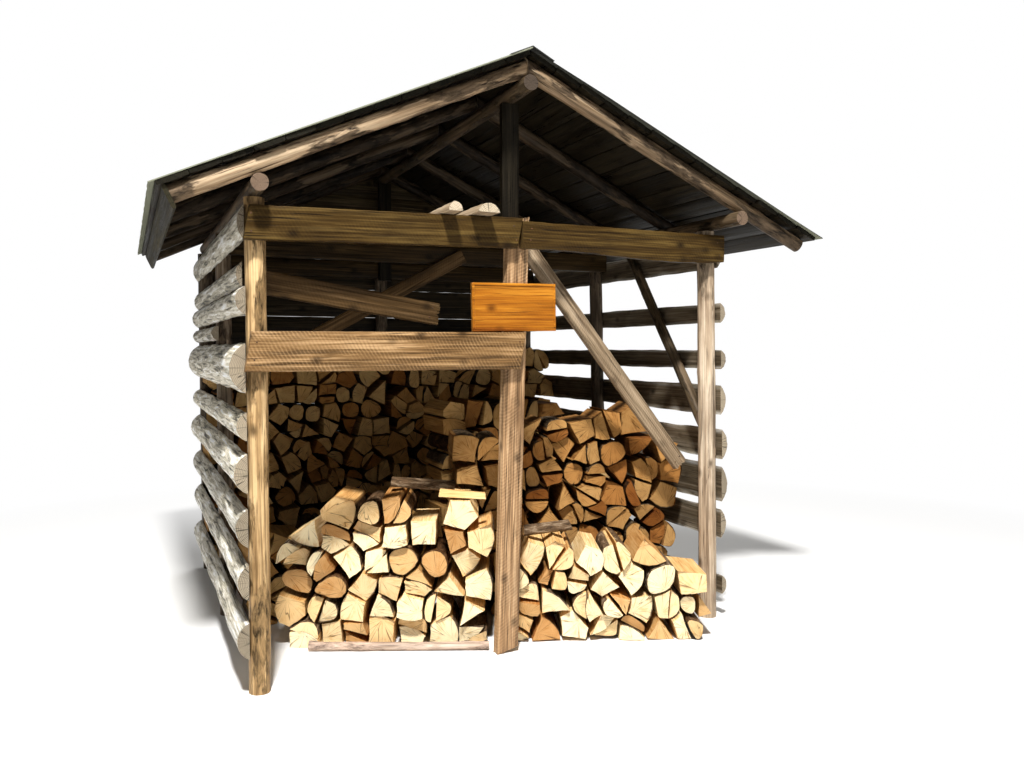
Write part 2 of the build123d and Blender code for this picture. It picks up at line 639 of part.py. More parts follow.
def clip(outline, point, normal):
    """Keep the part of a convex outline that lies behind a line."""
    kept = []
    for (x0, z0), (x1, z1) in zip(outline, outline[1:] + outline[:1]):
        d0 = (x0 - point[0]) * normal[0] + (z0 - point[1]) * normal[1]
        d1 = (x1 - point[0]) * normal[0] + (z1 - point[1]) * normal[1]
        if d0 <= 0:
            kept.append((x0, z0))
        if d0 * d1 < 0:
            share = d0 / (d0 - d1)
            kept.append((x0 + share * (x1 - x0), z0 + share * (z1 - z0)))
    return kept


def drop_short_sides(outline, shortest):
    """Leave out corners that follow the one before too closely."""
    kept = []
    for corner in outline:
        if not kept or math.dist(corner, kept[-1]) > shortest:
            kept.append(corner)
    if len(kept) > 3 and math.dist(kept[0], kept[-1]) <= shortest:
        kept.pop()
    return kept


def spread(left, right, heights):
    """Profile of a rank's top: its heights, evenly spaced from left to right."""
    step = (right - left) / (len(heights) - 1)
    return [(left + index * step, height) for index, height in enumerate(heights)]


def profile_height(profile, x):
    """Height of a rank's top at x, between the given points."""
    for (x0, z0), (x1, z1) in zip(profile, profile[1:]):
        if x0 <= x <= x1:
            return z0 + (z1 - z0) * (x - x0) / (x1 - x0)
    return 0


def split_log_outlines(profile, size, rng):
    """Ends of the split logs that fill the space under a profile, packed side by side."""
    left = profile[0][0]
    right = profile[-1][0]
    course = size * 0.88
    sites = []
    row = 0
    while course * (row + 0.5) < max(z for _, z in profile):
        x = left + size * (0.5 if row % 2 else 0.9)
        while x < right - size * 0.3:
            site = (x + rng.uniform(-0.2, 0.2) * size, course * (row + 0.5) + rng.uniform(-0.2, 0.2) * size)
            if site[1] < profile_height(profile, x) - 0.3 * size:
                sites.append(site)
            x += size * rng.uniform(0.85, 1.2)
        row += 1
    outlines = []
    for site in sites:
        turn = rng.uniform(0, math.pi / 3)
        radius = size * rng.uniform(0.7, 0.84)
        angles = [turn + index * math.pi / 3 for index in range(6)]
        outline = [(site[0] + radius * math.cos(a), site[1] + radius * math.sin(a)) for a in angles]
        for other in sites:
            distance = math.dist(site, other)
            if 0 < distance < 2.2 * size:
                normal = ((other[0] - site[0]) / distance, (other[1] - site[1]) / distance)
                reach = (distance - LOG_GAP) / 2
                outline = clip(outline, (site[0] + normal[0] * reach, site[1] + normal[1] * reach), normal)
        outline = clip(outline, (0, 0), (0, -1))
        outline = clip(outline, (left, 0), (-1, 0))
        outline = clip(outline, (right, 0), (1, 0))
        outline = drop_short_sides(outline, size * SHORTEST_SIDE)
        if len(outline) > 2:
            outlines.append(outline)
    return outlines


def make_rank(name, profile, y_front, size, seed, place=None):
    """One rank of firewood, a log's length deep, with an uneven front face."""
    rng = random.Random(seed)
    logs = []
    outlines = split_log_outlines(profile, size, rng)
    for outline in outlines:
        setback = max(0.0, rng.uniform(-0.4, 1) * LOG_SETBACK)
        log = upright_prism(outline, y_front + setback, y_front + LOG_LENGTH)
        logs.append(log.moved(place) if place else log)
    save(name, *logs)
    return outlines


def right_wall_x(z):
    """Inner side of the right wall slabs at height z."""
    return RIGHT_FACE - z * math.tan(math.radians(RIGHT_WALL_LEAN))


def upper_line(outlines, left, right):
    """Straight line on which a stiff log rests over the ends of others, between left and right."""
    under = [clip(clip(outline, (left, 0), (-1, 0)), (right, 0), (1, 0)) for outline in outlines]
    points = sorted(corner for outline in under for corner in outline)
    hull = []
    for x, z in points:
        while len(hull) > 1:
            (x0, z0), (x1, z1) = hull[-2:]
            if (x1 - x0) * (z - z0) < (z1 - z0) * (x - x0):
                break
            hull.pop()
        hull.append((x, z))
    middle = (left + right) / 2
    (x0, z0), (x1, z1) = next(pair for pair in zip(hull, hull[1:]) if pair[1][0] >= middle)
    slope = (z1 - z0) / (x1 - x0)
    return (left, z0 + slope * (left - x0)), (right, z0 + slope * (right - x0))


def loose_splits(sizes, outlines, place):
    """Splits thrown across the top of a rank, each resting on the highest ends below it."""
    logs = []
    for left, right, y_middle, width, height, ridge in sizes:
        start, end = upper_line(outlines, left, right)
        foot_z = start[1] + SEAT
        section = [
            (left, y_middle - width / 2, foot_z),
            (left, y_middle + width / 2, foot_z),
            (left, y_middle + ridge * width, foot_z + height),
        ]
        logs.append(prism(section, (right - left, 0, end[1] - start[1])).moved(place))
    return logs


def make_base_pole(place):
    """Thin pole on the ground along the foot of the front left rank."""
    radius = BASE_POLE_DIA / 2
    end = (-BASE_POLE_RIGHT_END, -radius - SEAT, radius)
    start = (end[0] - BASE_POLE_LENGTH, end[1], radius)
    save("base_pole", pole(start, end, BASE_POLE_DIA, BASE_POLE_DIA).moved(place))


def make_firewood():
    """Ranks against the back wall, ranks in both bays, and a rank laid askew in front."""
    post_left = LEFT_FACE + LEFT_POST_DIA + SEAT
    post_right = right_wall_x(POST_TOP) - RIGHT_POST_DIA - SEAT
    back_y = BACK_FACE - BACK_POST_DIA - SEAT - LOG_LENGTH
    back_profile = spread(LEFT_FACE, -LOG_GAP, BACK_LEFT_HEIGHTS)
    make_rank("firewood_back_left", back_profile, back_y, BACK_LOG_SIZE, 11)
    back_limit = right_wall_x(max(BACK_RIGHT_HEIGHTS))
    back_profile = spread(0, back_limit, BACK_RIGHT_HEIGHTS)
    make_rank("firewood_back_right", back_profile, back_y, BACK_LOG_SIZE, 12)

    angle = math.radians(-RIGHT_MIDDLE_RANK_TURN)
    right_y = FRONT_RANK_STEP + LOG_LENGTH + RANK_SPACE
    corner_x = FRONT_RANK_PIVOT[0] + (right_y + LOG_LENGTH) * math.sin(angle)
    room = right_wall_x(max(MIDDLE_RIGHT_HEIGHTS) + LOG_SIZE) - corner_x
    right_profile = spread(-RIGHT_MIDDLE_RANK_LEFT, room / math.cos(angle), MIDDLE_RIGHT_HEIGHTS)
    place = Location((*FRONT_RANK_PIVOT, 0), (0, 0, RIGHT_MIDDLE_RANK_TURN))
    make_rank("firewood_middle_right", right_profile, right_y, LOG_SIZE, 13, place)
    inner_profile = spread(SEAT, post_right, INNER_RIGHT_HEIGHTS)
    corner_y = RIGHT_MIDDLE_RANK_LEFT * math.sin(angle) + (right_y + LOG_LENGTH) * math.cos(angle)
    inner_y = FRONT_RANK_PIVOT[1] + corner_y + RANK_SPACE
    make_rank("firewood_inner_right", inner_profile, inner_y, INNER_LOG_SIZE, 17)

    angle = math.radians(-FRONT_RANK_TURN)
    corner_y = FRONT_RANK_LEFT * math.sin(angle) + LOG_LENGTH * math.cos(angle)
    left_y = FRONT_RANK_PIVOT[1] + corner_y + RANK_SPACE
    left_profile = spread(post_left, -LOG_GAP, MIDDLE_LEFT_HEIGHTS)
    make_rank("firewood_middle_left", left_profile, left_y, LOG_SIZE, 16)
    inner_profile = spread(post_left, 0, INNER_LEFT_HEIGHTS)
    make_rank("firewood_inner_left", inner_profile, left_y + LOG_LENGTH + SEAT, INNER_LOG_SIZE, 18)

    place = Location((*FRONT_RANK_PIVOT, 0), (0, 0, FRONT_RANK_TURN))
    left_profile = spread(-FRONT_RANK_LEFT, FRONT_RANK_SPLIT, FRONT_LEFT_HEIGHTS)
    outlines = make_rank("firewood_front_left", left_profile, 0, LOG_SIZE, 22, place)
    loose = loose_splits(LOOSE_LEFT_SPLITS, outlines, place)
    make_base_pole(place)
    profile = spread(FRONT_RANK_SPLIT + LOG_GAP, FRONT_RANK_RIGHT, FRONT_RIGHT_HEIGHTS)
    outlines = make_rank("firewood_front_right", profile, FRONT_RANK_STEP, LOG_SIZE, 12, place)
    loose += loose_splits(LOOSE_RIGHT_SPLITS, outlines, place)
    save("loose_splits", *loose)


make_posts()
make_ties()
make_king_posts()
make_roof_poles()
make_rafters("left_rafters", LEFT_SLOPE)
make_rafters("right_rafters", RIGHT_SLOPE)
make_roof_boards("left_roof_boards", LEFT_SLOPE, 3)
make_roof_boards("right_roof_boards", RIGHT_SLOPE, 4)
make_roof_sheet("left_roof_sheet", LEFT_SLOPE)
make_roof_sheet("right_roof_sheet", RIGHT_SLOPE)
make_eave_board()
make_ridge_cap()
make_front_boards()
make_loft_slabs()
make_braces()
make_side_walls()
make_back_wall()
make_firewood()
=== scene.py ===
"""Log store: the looks of each piece, built round the fixed frame. Metres, Z up."""
import math
import random

import bmesh
import bpy
import numpy as np
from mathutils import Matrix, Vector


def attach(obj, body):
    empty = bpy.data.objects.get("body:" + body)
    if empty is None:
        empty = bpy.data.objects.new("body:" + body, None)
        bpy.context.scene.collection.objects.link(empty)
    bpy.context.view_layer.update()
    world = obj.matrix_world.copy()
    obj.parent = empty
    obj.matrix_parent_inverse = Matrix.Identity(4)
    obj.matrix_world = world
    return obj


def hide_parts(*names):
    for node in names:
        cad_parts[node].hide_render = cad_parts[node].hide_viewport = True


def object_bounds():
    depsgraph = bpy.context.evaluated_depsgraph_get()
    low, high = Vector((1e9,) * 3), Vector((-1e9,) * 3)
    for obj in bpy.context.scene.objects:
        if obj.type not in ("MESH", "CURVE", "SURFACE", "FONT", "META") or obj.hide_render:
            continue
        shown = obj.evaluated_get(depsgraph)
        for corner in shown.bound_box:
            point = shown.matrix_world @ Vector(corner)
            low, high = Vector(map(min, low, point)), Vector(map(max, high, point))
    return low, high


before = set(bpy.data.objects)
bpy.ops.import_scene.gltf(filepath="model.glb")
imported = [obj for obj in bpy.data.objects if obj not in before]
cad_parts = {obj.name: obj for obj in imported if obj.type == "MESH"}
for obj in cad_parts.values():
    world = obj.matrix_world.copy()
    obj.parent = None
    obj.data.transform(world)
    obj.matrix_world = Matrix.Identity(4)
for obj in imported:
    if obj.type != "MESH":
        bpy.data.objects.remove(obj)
cad_box = [list(corner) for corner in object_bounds()]

# Camera, worked out from the photograph's vanishing points
IMAGE_WIDTH = 1024
FOCAL_PIXELS = 827
SENSOR_WIDTH = 36.0
CAMERA_PLACE = (-1.809, -3.96, 1.60)
CAMERA_YAW = 25.1
CAMERA_PITCH = 2.35

# Light and floor
WORLD_LIGHT = 0.22
WORLD_SEEN = 1.0
LAMPS = (  # name, place, size, power, what it is aimed at
    ("key", (-2.5, -4.8, 10.2), 1.0, 2300, (0.0, 0.0, 0.8)),
    ("fill", (4.5, -7.5, 2.5), 4.0, 45, (0.0, 0.5, 1.0)),
    ("back", (3.0, 8.0, 6.0), 4.0, 260, (0.0, 1.5, 1.5)),
)
FLOOR_COLOUR = (0.82, 0.81, 0.79)
FLOOR_ROUGHNESS = 0.95
FLOOR_REACH = 40.0
FLOOR_FADE = (3.2, 6.5)  # metres from the middle, over which the floor turns into the white background

# Reading the solids
WELD = 2e-5  # points closer than this are one
SOLID_CREASE = math.radians(0.6)  # edges of the solids that are flatter than this don't count
END_FACING = 0.3  # least share of the axis in the normal of an end face
INSIDE = 1e-5  # a section is taken this far inside the end
NEARLY = 1e-6  # slack for lengths and shares that ought to be equal
CREASE = math.radians(34)  # edges of the pieces that are sharper than this are drawn sharp

# Shared by the makers
ALL_ROUND = 6.28  # a random direction is up to this many radians
GRAIN_LENGTH = 40  # metres of grain, of which each piece takes a random stretch
DIGITS = 4  # points of an outline are rounded to a tenth of a millimetre
STRAIGHT = 1e-7  # area of a corner that counts as straight

# Poles
RING_STEP = 0.03
RAFTER_TAPER = 0.10
RAFTER_PAINTED_SHADE = 0.12  # greatest tone of the rafters behind the front one
# The rafters behind the front one are darkened by their tone: painted shade.
POLE_SIDES = 26
POLE_SPARE = 0.002  # extra length that is trimmed at the solid's end planes
POLE_WAVES = (0.9, 0.37, 0.21)  # all waves are lengths in metres
POLE_SWELL = 0.035
POLE_LOBES = (2, 3, 5)
LOBE_SIZE = (0.006, 0.018)
LOBE_TWIST = 1.5
KNOT_LENGTH = 0.03
KNOT_WIDTH = 0.12
KNOT_SIZE = (0.004, 0.009)
SWAY_WAVES = ((1.3, 0.8), (1.1, 0.7))  # across and up
SWAY_SHARE = 0.3
STEEP = 0.9  # share of the vertical above which a pole counts as upright

# Planks
PLANK_EASE = 0.004  # size of the eased corners
PLANK_EASE_SHARE = 0.2  # of the thickness, at most
PLANK_EASE_IN = 0.8  # share of it by which the face stops short of the edge
LOW_EDGE_WAVES = (0.8, 0.31, 0.13)
HIGH_EDGE_WAVES = (0.7, 0.27, 0.11)
FACE_WAVES = (0.23, 0.09)
EDGE_WAVES = (0.3, 0.12)
PLANK_ROUGH = 0.0006
PLANK_CUP = 0.0015
PITH_ACROSS = 0.1
PITH_BELOW = (0.06, 0.16)
SPLINTERS = 0.03  # depth of the splinters at a broken end

# Roofing sheet
SHEET_STEP = 0.04
SHEET_COURSES = 3
SHEET_ROWS = 9
SHEET_LAP = 0.0035
SHEET_LIP = 0.001  # how far the top of a lap hangs over its foot
LAP_WAVES = (1.6, 0.45, 0.17)
BUCKLE_WAVES = (0.9, 0.33)
BUCKLE_SHARE = 0.4  # of the lap
SHEET_WANDER = 0.006
SHEET_WORN = 0.012  # width of the pale, worn edge along the eaves

# Slabs
SLAB_TURNS = 15
SLAB_BACK = (0.66, 0.33, 0.0, -0.33, -0.66)  # points of the flat back, as shares of the half width
SLAB_WIDTH_WAVES = (1.7, 0.6, 0.28)
SLAB_WIDTH_SWELL = 0.07
SLAB_CROWN_WAVES = (1.3, 0.5)
SLAB_CROWN_SWELL = 0.10
SLAB_LUMP_WAVES = (0.33, 0.12, 0.07)
SLAB_LUMPS = 0.004
SLAB_BACK_WAVES = (0.4, 0.15)
SLAB_LEAST = 0.001  # least height of the bark over the post's face
SLAB_BACK_PLACE = 0.0008

# Sign and ridge strip
SIGN_BORDER = 0.014
SIGN_ROUT = 0.003
SIGN_EASE = 0.003
SIGN_STEP = 0.002
SIGN_COLUMNS = 18
SIGN_ROWS = 10
SIGN_PITH = (0.05, -0.15)
SIGN_RIM = 0.98
SIGN_SEED = 77
CAP_SEED = 78
CAP_STEPS = 60
CAP_WAVES = (0.5, 0.2)
CAP_DENT = 0.001

# Nails
NAIL_RADIUS = 0.0045
NAIL_SIDES = 8
NAIL_INSET = 0.045
NAIL_SHARES = (0.27, 0.71)  # places of a pair across the board
NAIL_PROFILE = ((1.0, -0.002), (1.0, 0.0008), (0.7, 0.0016))  # share of the radius, height
NAIL_TOP = 0.0018
NAIL_STRAY = 0.012  # along the board
NAIL_STRAY_SHARE = 0.05  # across the board, as a share of its width
NAIL_SEED = 91
NAILED_BOARDS = ("front_left_tie", "front_right_tie", "lower_front_board", "loose_board", "front_brace")

# Split logs
LOG_RINGS = (0.0, 0.06, 0.35, 0.7, 0.94, 1.0)
LOG_EDGE_STEPS = 4
LOG_CORNERS = (3, 4, 4, 5)
LOG_SHRINK = (0.88, 0.985)  # size of a log, as a share of the solid's
LOG_TURN = 6.0  # degrees
LOG_LEAN = (0.008, 0.005)
LOG_DENT = 0.0022
LOG_FILL = 0.985  # share of its outline that a log fills at most
LOG_FILL_SPREAD = 0.02
LOG_END_FILL = 0.015  # less at its two ends
LOG_FADE = (2.0, 3.0)
LOG_RIM = 0.94
PITH_OFF = 0.75  # share of the way from a log's middle to its outline at which its pith is
LOG_RECESS = 0.022  # spread of the ends' depth behind the front of the rank
LOG_RECESS_MOST = 0.06
LOG_SPARE = 0.001  # by which a log is shorter than its solid
END_TILT = 0.22  # steepest slope of a log's end
CORNER_KEPT = 0.75  # where a rounding cuts the way to the next corner
CLEFT = 0.010  # gap between the halves of a cleft log
CLEFT_OFFSET = 0.006
ROUND_SHARE = 0.08  # of the logs that are whole branches
BARK_SHARE = 0.6  # of the logs that are branches or have a side of bark
SMOOTH_HALVES = 0.45  # of the halves that keep a round side with bark
ALL_BARK_SHARE = 0.06  # of the logs that show bark all round
BARK_BULGE = (0.10, 0.18)
SPLIT_BULGE = (-0.03, 0.01)
RANK_SEED = 260
# The ranks behind the front ones take darker copies of the split wood, as painted shade.
RANKS = (  # node, material, share of cleft logs
    ("firewood_front_left", "log_front", 0.35),
    ("firewood_front_right", "log_front", 0.4),
    ("firewood_middle_left", "log_shade", 0.4),
    ("firewood_middle_right", "log_painted_half_shade", 0.5),
    ("firewood_back_left", "log_shade", 0.3),
    ("firewood_back_right", "log_shade", 0.3),
    ("firewood_inner_left", "log_shade", 0.7),
    ("firewood_inner_right", "log_shade", 0.7),
    ("loose_splits", "log_front", 0.0),
)
BARKY_SPLITS = (0, 2)  # of the loose splits

# Marks in wood: scale along and across the grain, then detail, roughness and distortion of the noise
FIBRE = ((2.0, 95.0, 95.0), 6.0, 0.62, 0.35)
BROAD = ((1.1, 16.0, 16.0), 4.0, 0.6, 0.8)
PATCH = ((3.0, 6.0, 6.0), 5.0, 0.6)
CHECK = ((3.0, 150.0, 150.0), 3.0, 0.5, 0.2)
STREAK = ((0.9, 24.0, 24.0), 4.0, 0.6, 1.2)
KNOT = (6.0, 9.0, 9.0)
SAW_DRIFT = ((5.0, 14.0, 14.0), 3.0)
RING_DRIFT = ((1.0, 18.0, 18.0), 3.0)
BARK_SPOT = ((2.6, 11.0, 11.0), 5.0, 0.6)
SPLIT_FIBRE = ((5.0, 120.0, 120.0), 5.0, 0.6, 0.3)
SPLIT_BROAD = ((3.0, 16.0, 16.0), 3.0, 0.5, 0.6)
LOG_RING_DRIFT = ((1.0, 14.0, 14.0), 3.0)
DIRT = ((1.0, 26.0, 26.0), 6.0, 0.7)
SPLIT_BARK = ((14.0, 42.0, 42.0), 6.0, 0.7, 0.5)
DUST = ((4.0, 4.0, 4.0), 6.0, 0.65)
GRIT = ((420.0, 420.0, 420.0), 2.0)
RUNS = ((9.0, 0.8, 0.8), 5.0, 0.6, 0.4)
RUST = ((90.0, 90.0, 90.0), 4.0, 0.6)
PITTING = ((700.0, 700.0, 700.0), 3.0)

# The values over which a mark goes from none to full
CHECK_SPAN = (0.36, 0.30)
STAIN_SPAN = (0.5, 0.72)
STREAK_SPAN = (0.54, 0.68)
KNOT_SPAN = (0.24, 0.06)
SAW_PALE_SPAN = (0.52, 0.72)
SAW_DARK_SPAN = (0.48, 0.30)
SAW_DRIFT_SPAN = (0.35, 0.6)
BARK_SPAN = (0.62, 0.66)  # where no bark is left; lower by BARK_SHIFT where it has all its bark
BARK_SHIFT = 0.3
SILVER_SPAN = (0.3, 0.7)  # of the share by which a face looks to the back
SILVER_STAIN_SPAN = (0.45, 0.7)
CRACK_SPAN = (0.014, 0.004)
LOG_CRACK_SPAN = (0.010, 0.002)
DIRT_SPAN = (0.58, 0.78)
BARK_SIDE_SPAN = (0.3, 0.6)
BARK_RIM_SPAN = (0.55, 0.9)
GRIT_SPAN = (0.5, 0.7)
ROUGH_SPAN = (0.2, 0.9)
IRON_ROUGH_SPAN = (0.0, 1.2)

# How strongly the marks show
FIBRE_SHARE = 0.55
STREAK_SHARE = 0.7
KNOT_SHARE = 0.85
SAW_PALE_SHARE = 0.28
SAW_DARK_SHARE = 0.35
SAW_SLANT = (338.0, 195.0)  # radians per metre, along and across
SAW_WANDER = 9.0
SAW_DEPTH = 0.22
SAW_RELIEF = 1.5
SILVER_SHARE = 0.85
RINGS_PER_METRE = 900.0  # radians
RING_WANDER = 14.0
RING_STOPS = (0.0, 0.7)
CRACK_FAN = (1.6, 1.0)  # scale round and away from the pith
CRACK_SCALE = 1.3
LOG_RINGS_PER_METRE = 1300.0
LOG_RING_WANDER = 18.0
LOG_FAN = (1.5, 1.5)
LOG_CRACK_SCALE = 1.1
LOG_RAYS = (9.0, 3.0)  # scale and detail
LOG_RING_SHARE = 0.035
LOG_RING_RELIEF = 0.05
CRACK_SHARE = 0.7
SPLIT_FIBRE_SHARE = 0.65
DIRT_SHARE = 0.35
BARK_FLAKES = (6.0, 0.7, 0.5)  # detail, roughness and distortion
BARK_RELIEF = 2.5
SPLIT_BARK_RELIEF = 2.0
WORN_SHARE = 0.75
GRIT_SHARE = 0.45
WOOD_BUMP = 0.003
LOG_BUMP = 0.0025
LOG_ROUGH = 0.8
ROOFING_BUMP = 0.0015
ROOFING_ROUGH = 0.85
IRON_BUMP = 0.0004
BUMP_STRENGTH = 0.9
SPECULAR = 0.1

# Ramps: the places of their colours, and some of the colours
WOOD_STOPS = (0.38, 0.5, 0.62)
BARK_STOPS = (0.38, 0.5, 0.64)
SPLIT_STOPS = (0.34, 0.5, 0.70)
SPLIT_END_STOPS = (0.34, 0.50, 0.66)
SPLIT_BARK_STOPS = (0.36, 0.52, 0.68)
ROOFING_STOPS = (0.36, 0.5, 0.66)
RUST_STOPS = (0.35, 0.5, 0.65)
ROOFING_COLOURS = ((0.012, 0.012, 0.011), (0.030, 0.030, 0.027), (0.075, 0.075, 0.062))
WORN_EDGE = (0.30, 0.31, 0.22)
GRIT_COLOUR = (0.11, 0.11, 0.10)
RUST_COLOURS = ((0.02, 0.018, 0.016), (0.06, 0.035, 0.02), (0.14, 0.06, 0.025))
TONE_STOPS = (0.0, 0.22, 0.5, 1.0)
TONE_COLOURS = ((0.50, 0.30, 0.16), (0.78, 0.60, 0.42), (0.95, 0.86, 0.74), (1.0, 1.0, 1.0))


def ripple(values, rng, waves, strength):
    """Smooth unevenness along a line: a sum of sine waves with random phases."""
    total = np.zeros_like(np.asarray(values, dtype=float))
    for length in waves:
        phase = rng.uniform(0, 2 * math.pi)
        total += np.sin(values * (2 * math.pi / length) + phase) * rng.uniform(0.5, 1.0)
    return total * strength / len(waves)


def unit(vector):
    """The vector at length 1."""
    return np.asarray(vector, dtype=float) / np.linalg.norm(vector)


def mid(values):
    """Halfway between the least and the greatest value."""
    return (values.max() + values.min()) / 2


def section_of(rows, steps):
    """Section (steps, points, 2) from rows of across and up, each one number or one for each step."""
    level = np.zeros_like(steps)
    return np.stack([np.stack([across + level, up + level], axis=1) for across, up in rows], axis=1)


def add_object(name, data):
    """A new object in the scene."""
    made = bpy.data.objects.new(name, data)
    bpy.context.scene.collection.objects.link(made)
    return made


class Shape:
    """Points and faces of one piece, with the wood coordinates that its material reads."""

    def __init__(self):
        self.points = []
        self.faces = []
        self.grain = []
        self.marks = []
        self.flat = []
        self.count = 0

    def add(self, points, faces, grain, marks, flat=False):
        """Add points (n, 3), faces, wood coordinates (n, 3) and marks (n, 3): end, bark, tone."""
        self.points.append(points)
        self.grain.append(grain)
        self.marks.append(marks)
        self.faces.extend([tuple(corner + self.count for corner in face) for face in faces])
        self.flat.extend([flat] * len(faces))
        self.count += len(points)

    def build(self, name, material, slot, *nodes):
        """Make the object, which rides on the frame and stands for the given nodes."""
        mesh = bpy.data.meshes.new(name)
        points = np.clip(np.concatenate(self.points), *cad_box)
        mesh.from_pydata(points.tolist(), [], self.faces)
        for label, rows in (("grain", self.grain), ("marks", self.marks)):
            attribute = mesh.attributes.new(label, "FLOAT_VECTOR", "POINT")
            attribute.data.foreach_set("vector", np.concatenate(rows).astype(np.float32).ravel())
        mesh.polygons.foreach_set("use_smooth", [not flat for flat in self.flat])
        mesh.materials.append(material)
        mesh.update()
        mesh.set_sharp_from_angle(angle=CREASE)
        piece = add_object(name, mesh)
        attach(piece, "root")
        if nodes:
            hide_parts(*nodes)


def ring_faces(rings, sides):
    """Quads between rings of points, each ring closed."""
    faces = []
    for ring in range(rings - 1):
        low = ring * sides
        high = low + sides
        for side in range(sides):
            after = (side + 1) % sides
            faces.append((low + side, low + after, high + after, high + side))
    return faces


def sweep(shape, origin, axes, steps, section, rng, tone, bark=None, cuts=(), pith=(0.0, 0.0),
          rim=0.93, tilt=0.0, torn=0.0):
    """Sweep a closed section along an axis, with separate end caps.

    section has shape (steps, sides, 2), across and up; cuts are planes that trim the ends;
    tilt is the steepest slope of an end that was not sawn square, and torn is the depth of the
    splinters of the last end, or below zero of the first.
    """
    along, across, up = axes
    rings, sides = section.shape[:2]
    points = (
        origin
        + steps[:, None, None] * along
        + section[:, :, 0:1] * across
        + section[:, :, 1:2] * up
    )
    if tilt:
        for ring, facing in ((0, 1), (rings - 1, -1)):
            slope = section[ring] @ np.array([rng.uniform(-tilt, tilt), rng.uniform(-tilt, tilt)])
            points[ring] += facing * (slope - slope.min())[:, None] * along
    if torn:
        splinters = np.array([rng.uniform(0, 1) ** 2 * torn for _ in range(sides)])
        for ring in (-1, -2) if torn > 0 else (0, 1):
            points[ring] -= splinters[:, None] * along
    for spot, normal in cuts:
        over = np.maximum((points - spot) @ normal, 0)
        points = points - over[:, :, None] * along / float(along @ normal)
    start = rng.uniform(0, GRAIN_LENGTH)
    lengths = np.broadcast_to(steps[:, None] + start, (rings, sides))
    grain = np.stack([lengths, section[:, :, 0] - pith[0], section[:, :, 1] - pith[1]], axis=2)
    bark_row = np.zeros(sides) if bark is None else np.asarray(bark, dtype=float)
    marks = np.zeros((rings, sides, 3))
    marks[:, :, 1] = bark_row
    marks[:, :, 2] = tone
    shape.add(points.reshape(-1, 3), ring_faces(rings, sides), grain.reshape(-1, 3), marks.reshape(-1, 3))
    for ring, facing in ((0, -1), (rings - 1, 1)):
        cap_points = with_rim(points[ring], rim)
        cap_grain = with_rim(grain[ring], rim)
        cap_marks = np.zeros((len(cap_points), 3))
        cap_marks[:, 0] = 1
        cap_marks[:sides, 1] = bark_row
        cap_marks[:, 2] = tone
        faces = []
        for side in range(sides):
            after = (side + 1) % sides
            faces.append((side, after, sides + after, sides + side)[::facing])
            faces.append((sides + side, sides + after, 2 * sides)[::facing])
        shape.add(cap_points, faces, cap_grain, cap_marks, flat=True)


def with_rim(outer, rim):
    """Rows of an end cap: the outline, the same brought in to the rim, and the middle."""
    middle = outer.mean(axis=0)
    return np.concatenate([outer, middle + (outer - middle) * rim, middle[None]])


def solids_of(node):
    """The separate solids of a CAD node, each as a welded group of corners."""
    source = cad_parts[node]
    whole = bmesh.new()
    whole.from_mesh(source.data)
    whole.transform(source.matrix_world)
    bmesh.ops.remove_doubles(whole, verts=whole.verts, dist=WELD)
    whole.verts.ensure_lookup_table()
    seen = set()
    solids = []
    for first in whole.verts:
        if first.index in seen:
            continue
        group = []
        waiting = [first]
        seen.add(first.index)
        while waiting:
            corner = waiting.pop()
            group.append(corner)
            for edge in corner.link_edges:
                other = edge.other_vert(corner)
                if other.index not in seen:
                    seen.add(other.index)
                    waiting.append(other)
        solids.append(Solid(group))
    whole.free()
    return solids


class Solid:
    """Corner points, edges and faces of one CAD solid."""

    def __init__(self, corners):
        order = {corner.index: place for place, corner in enumerate(corners)}
        self.points = np.array([corner.co[:] for corner in corners])
        edges = {edge for corner in corners for edge in corner.link_edges}
        faces = {face for corner in corners for face in corner.link_faces}
        self.edges = sorted(
            sorted(order[v.index] for v in edge.verts)
            for edge in edges if edge.calc_face_angle(0) > SOLID_CREASE
        )
        self.faces = sorted(
            ([order[v.index] for v in face.verts], tuple(face.normal), face.calc_area(),
             tuple(face.calc_center_median()))
            for face in faces
        )

    def reach(self, origin, axis):
        """How far each point lies from the origin along an axis."""
        return (self.points - origin) @ axis

    def long_axis(self):
        """Direction of the longest edge, pointing to larger coordinates."""
        lines = [self.points[last] - self.points[first] for first, last in self.edges]
        axis = unit(max(lines, key=np.linalg.norm))
        return axis if axis[np.argmax(np.abs(axis))] > 0 else -axis

    def broad_normal(self):
        """Normal of the side with the most area."""
        totals = {}
        rows = {}
        for _, normal, area, _ in self.faces:
            key = tuple(round(value, 2) for value in normal)
            totals[key] = totals.get(key, 0) + area
            rows.setdefault(key, []).append(normal)
        best = max(sorted(totals), key=totals.get)
        return unit(np.mean(rows[best], axis=0))

    def flat_axes(self, toward=None):
        """Axes of a flat solid: along it, across it, and out of its broad side."""
        out = self.broad_normal()
        if toward and out @ toward < 0:
            out = -out
        along = self.long_axis()
        along = unit(along - out * (along @ out))
        return along, np.cross(out, along), out

    def end_planes(self, axis):
        """Middle and outward normal of the faces at each end of a long solid."""
        planes = []
        for sign in (-1, 1):
            ends = []
            for _, normal, area, spot in self.faces:
                if np.dot(normal, axis) * sign > END_FACING:
                    ends.append((area, np.array(normal), np.array(spot)))
            total = sum(area for area, _, _ in ends)
            normal = unit(sum(normal * area for area, normal, _ in ends))
            spot = sum(spot * area for area, _, spot in ends) / total
            planes.append((spot, normal))
        return planes


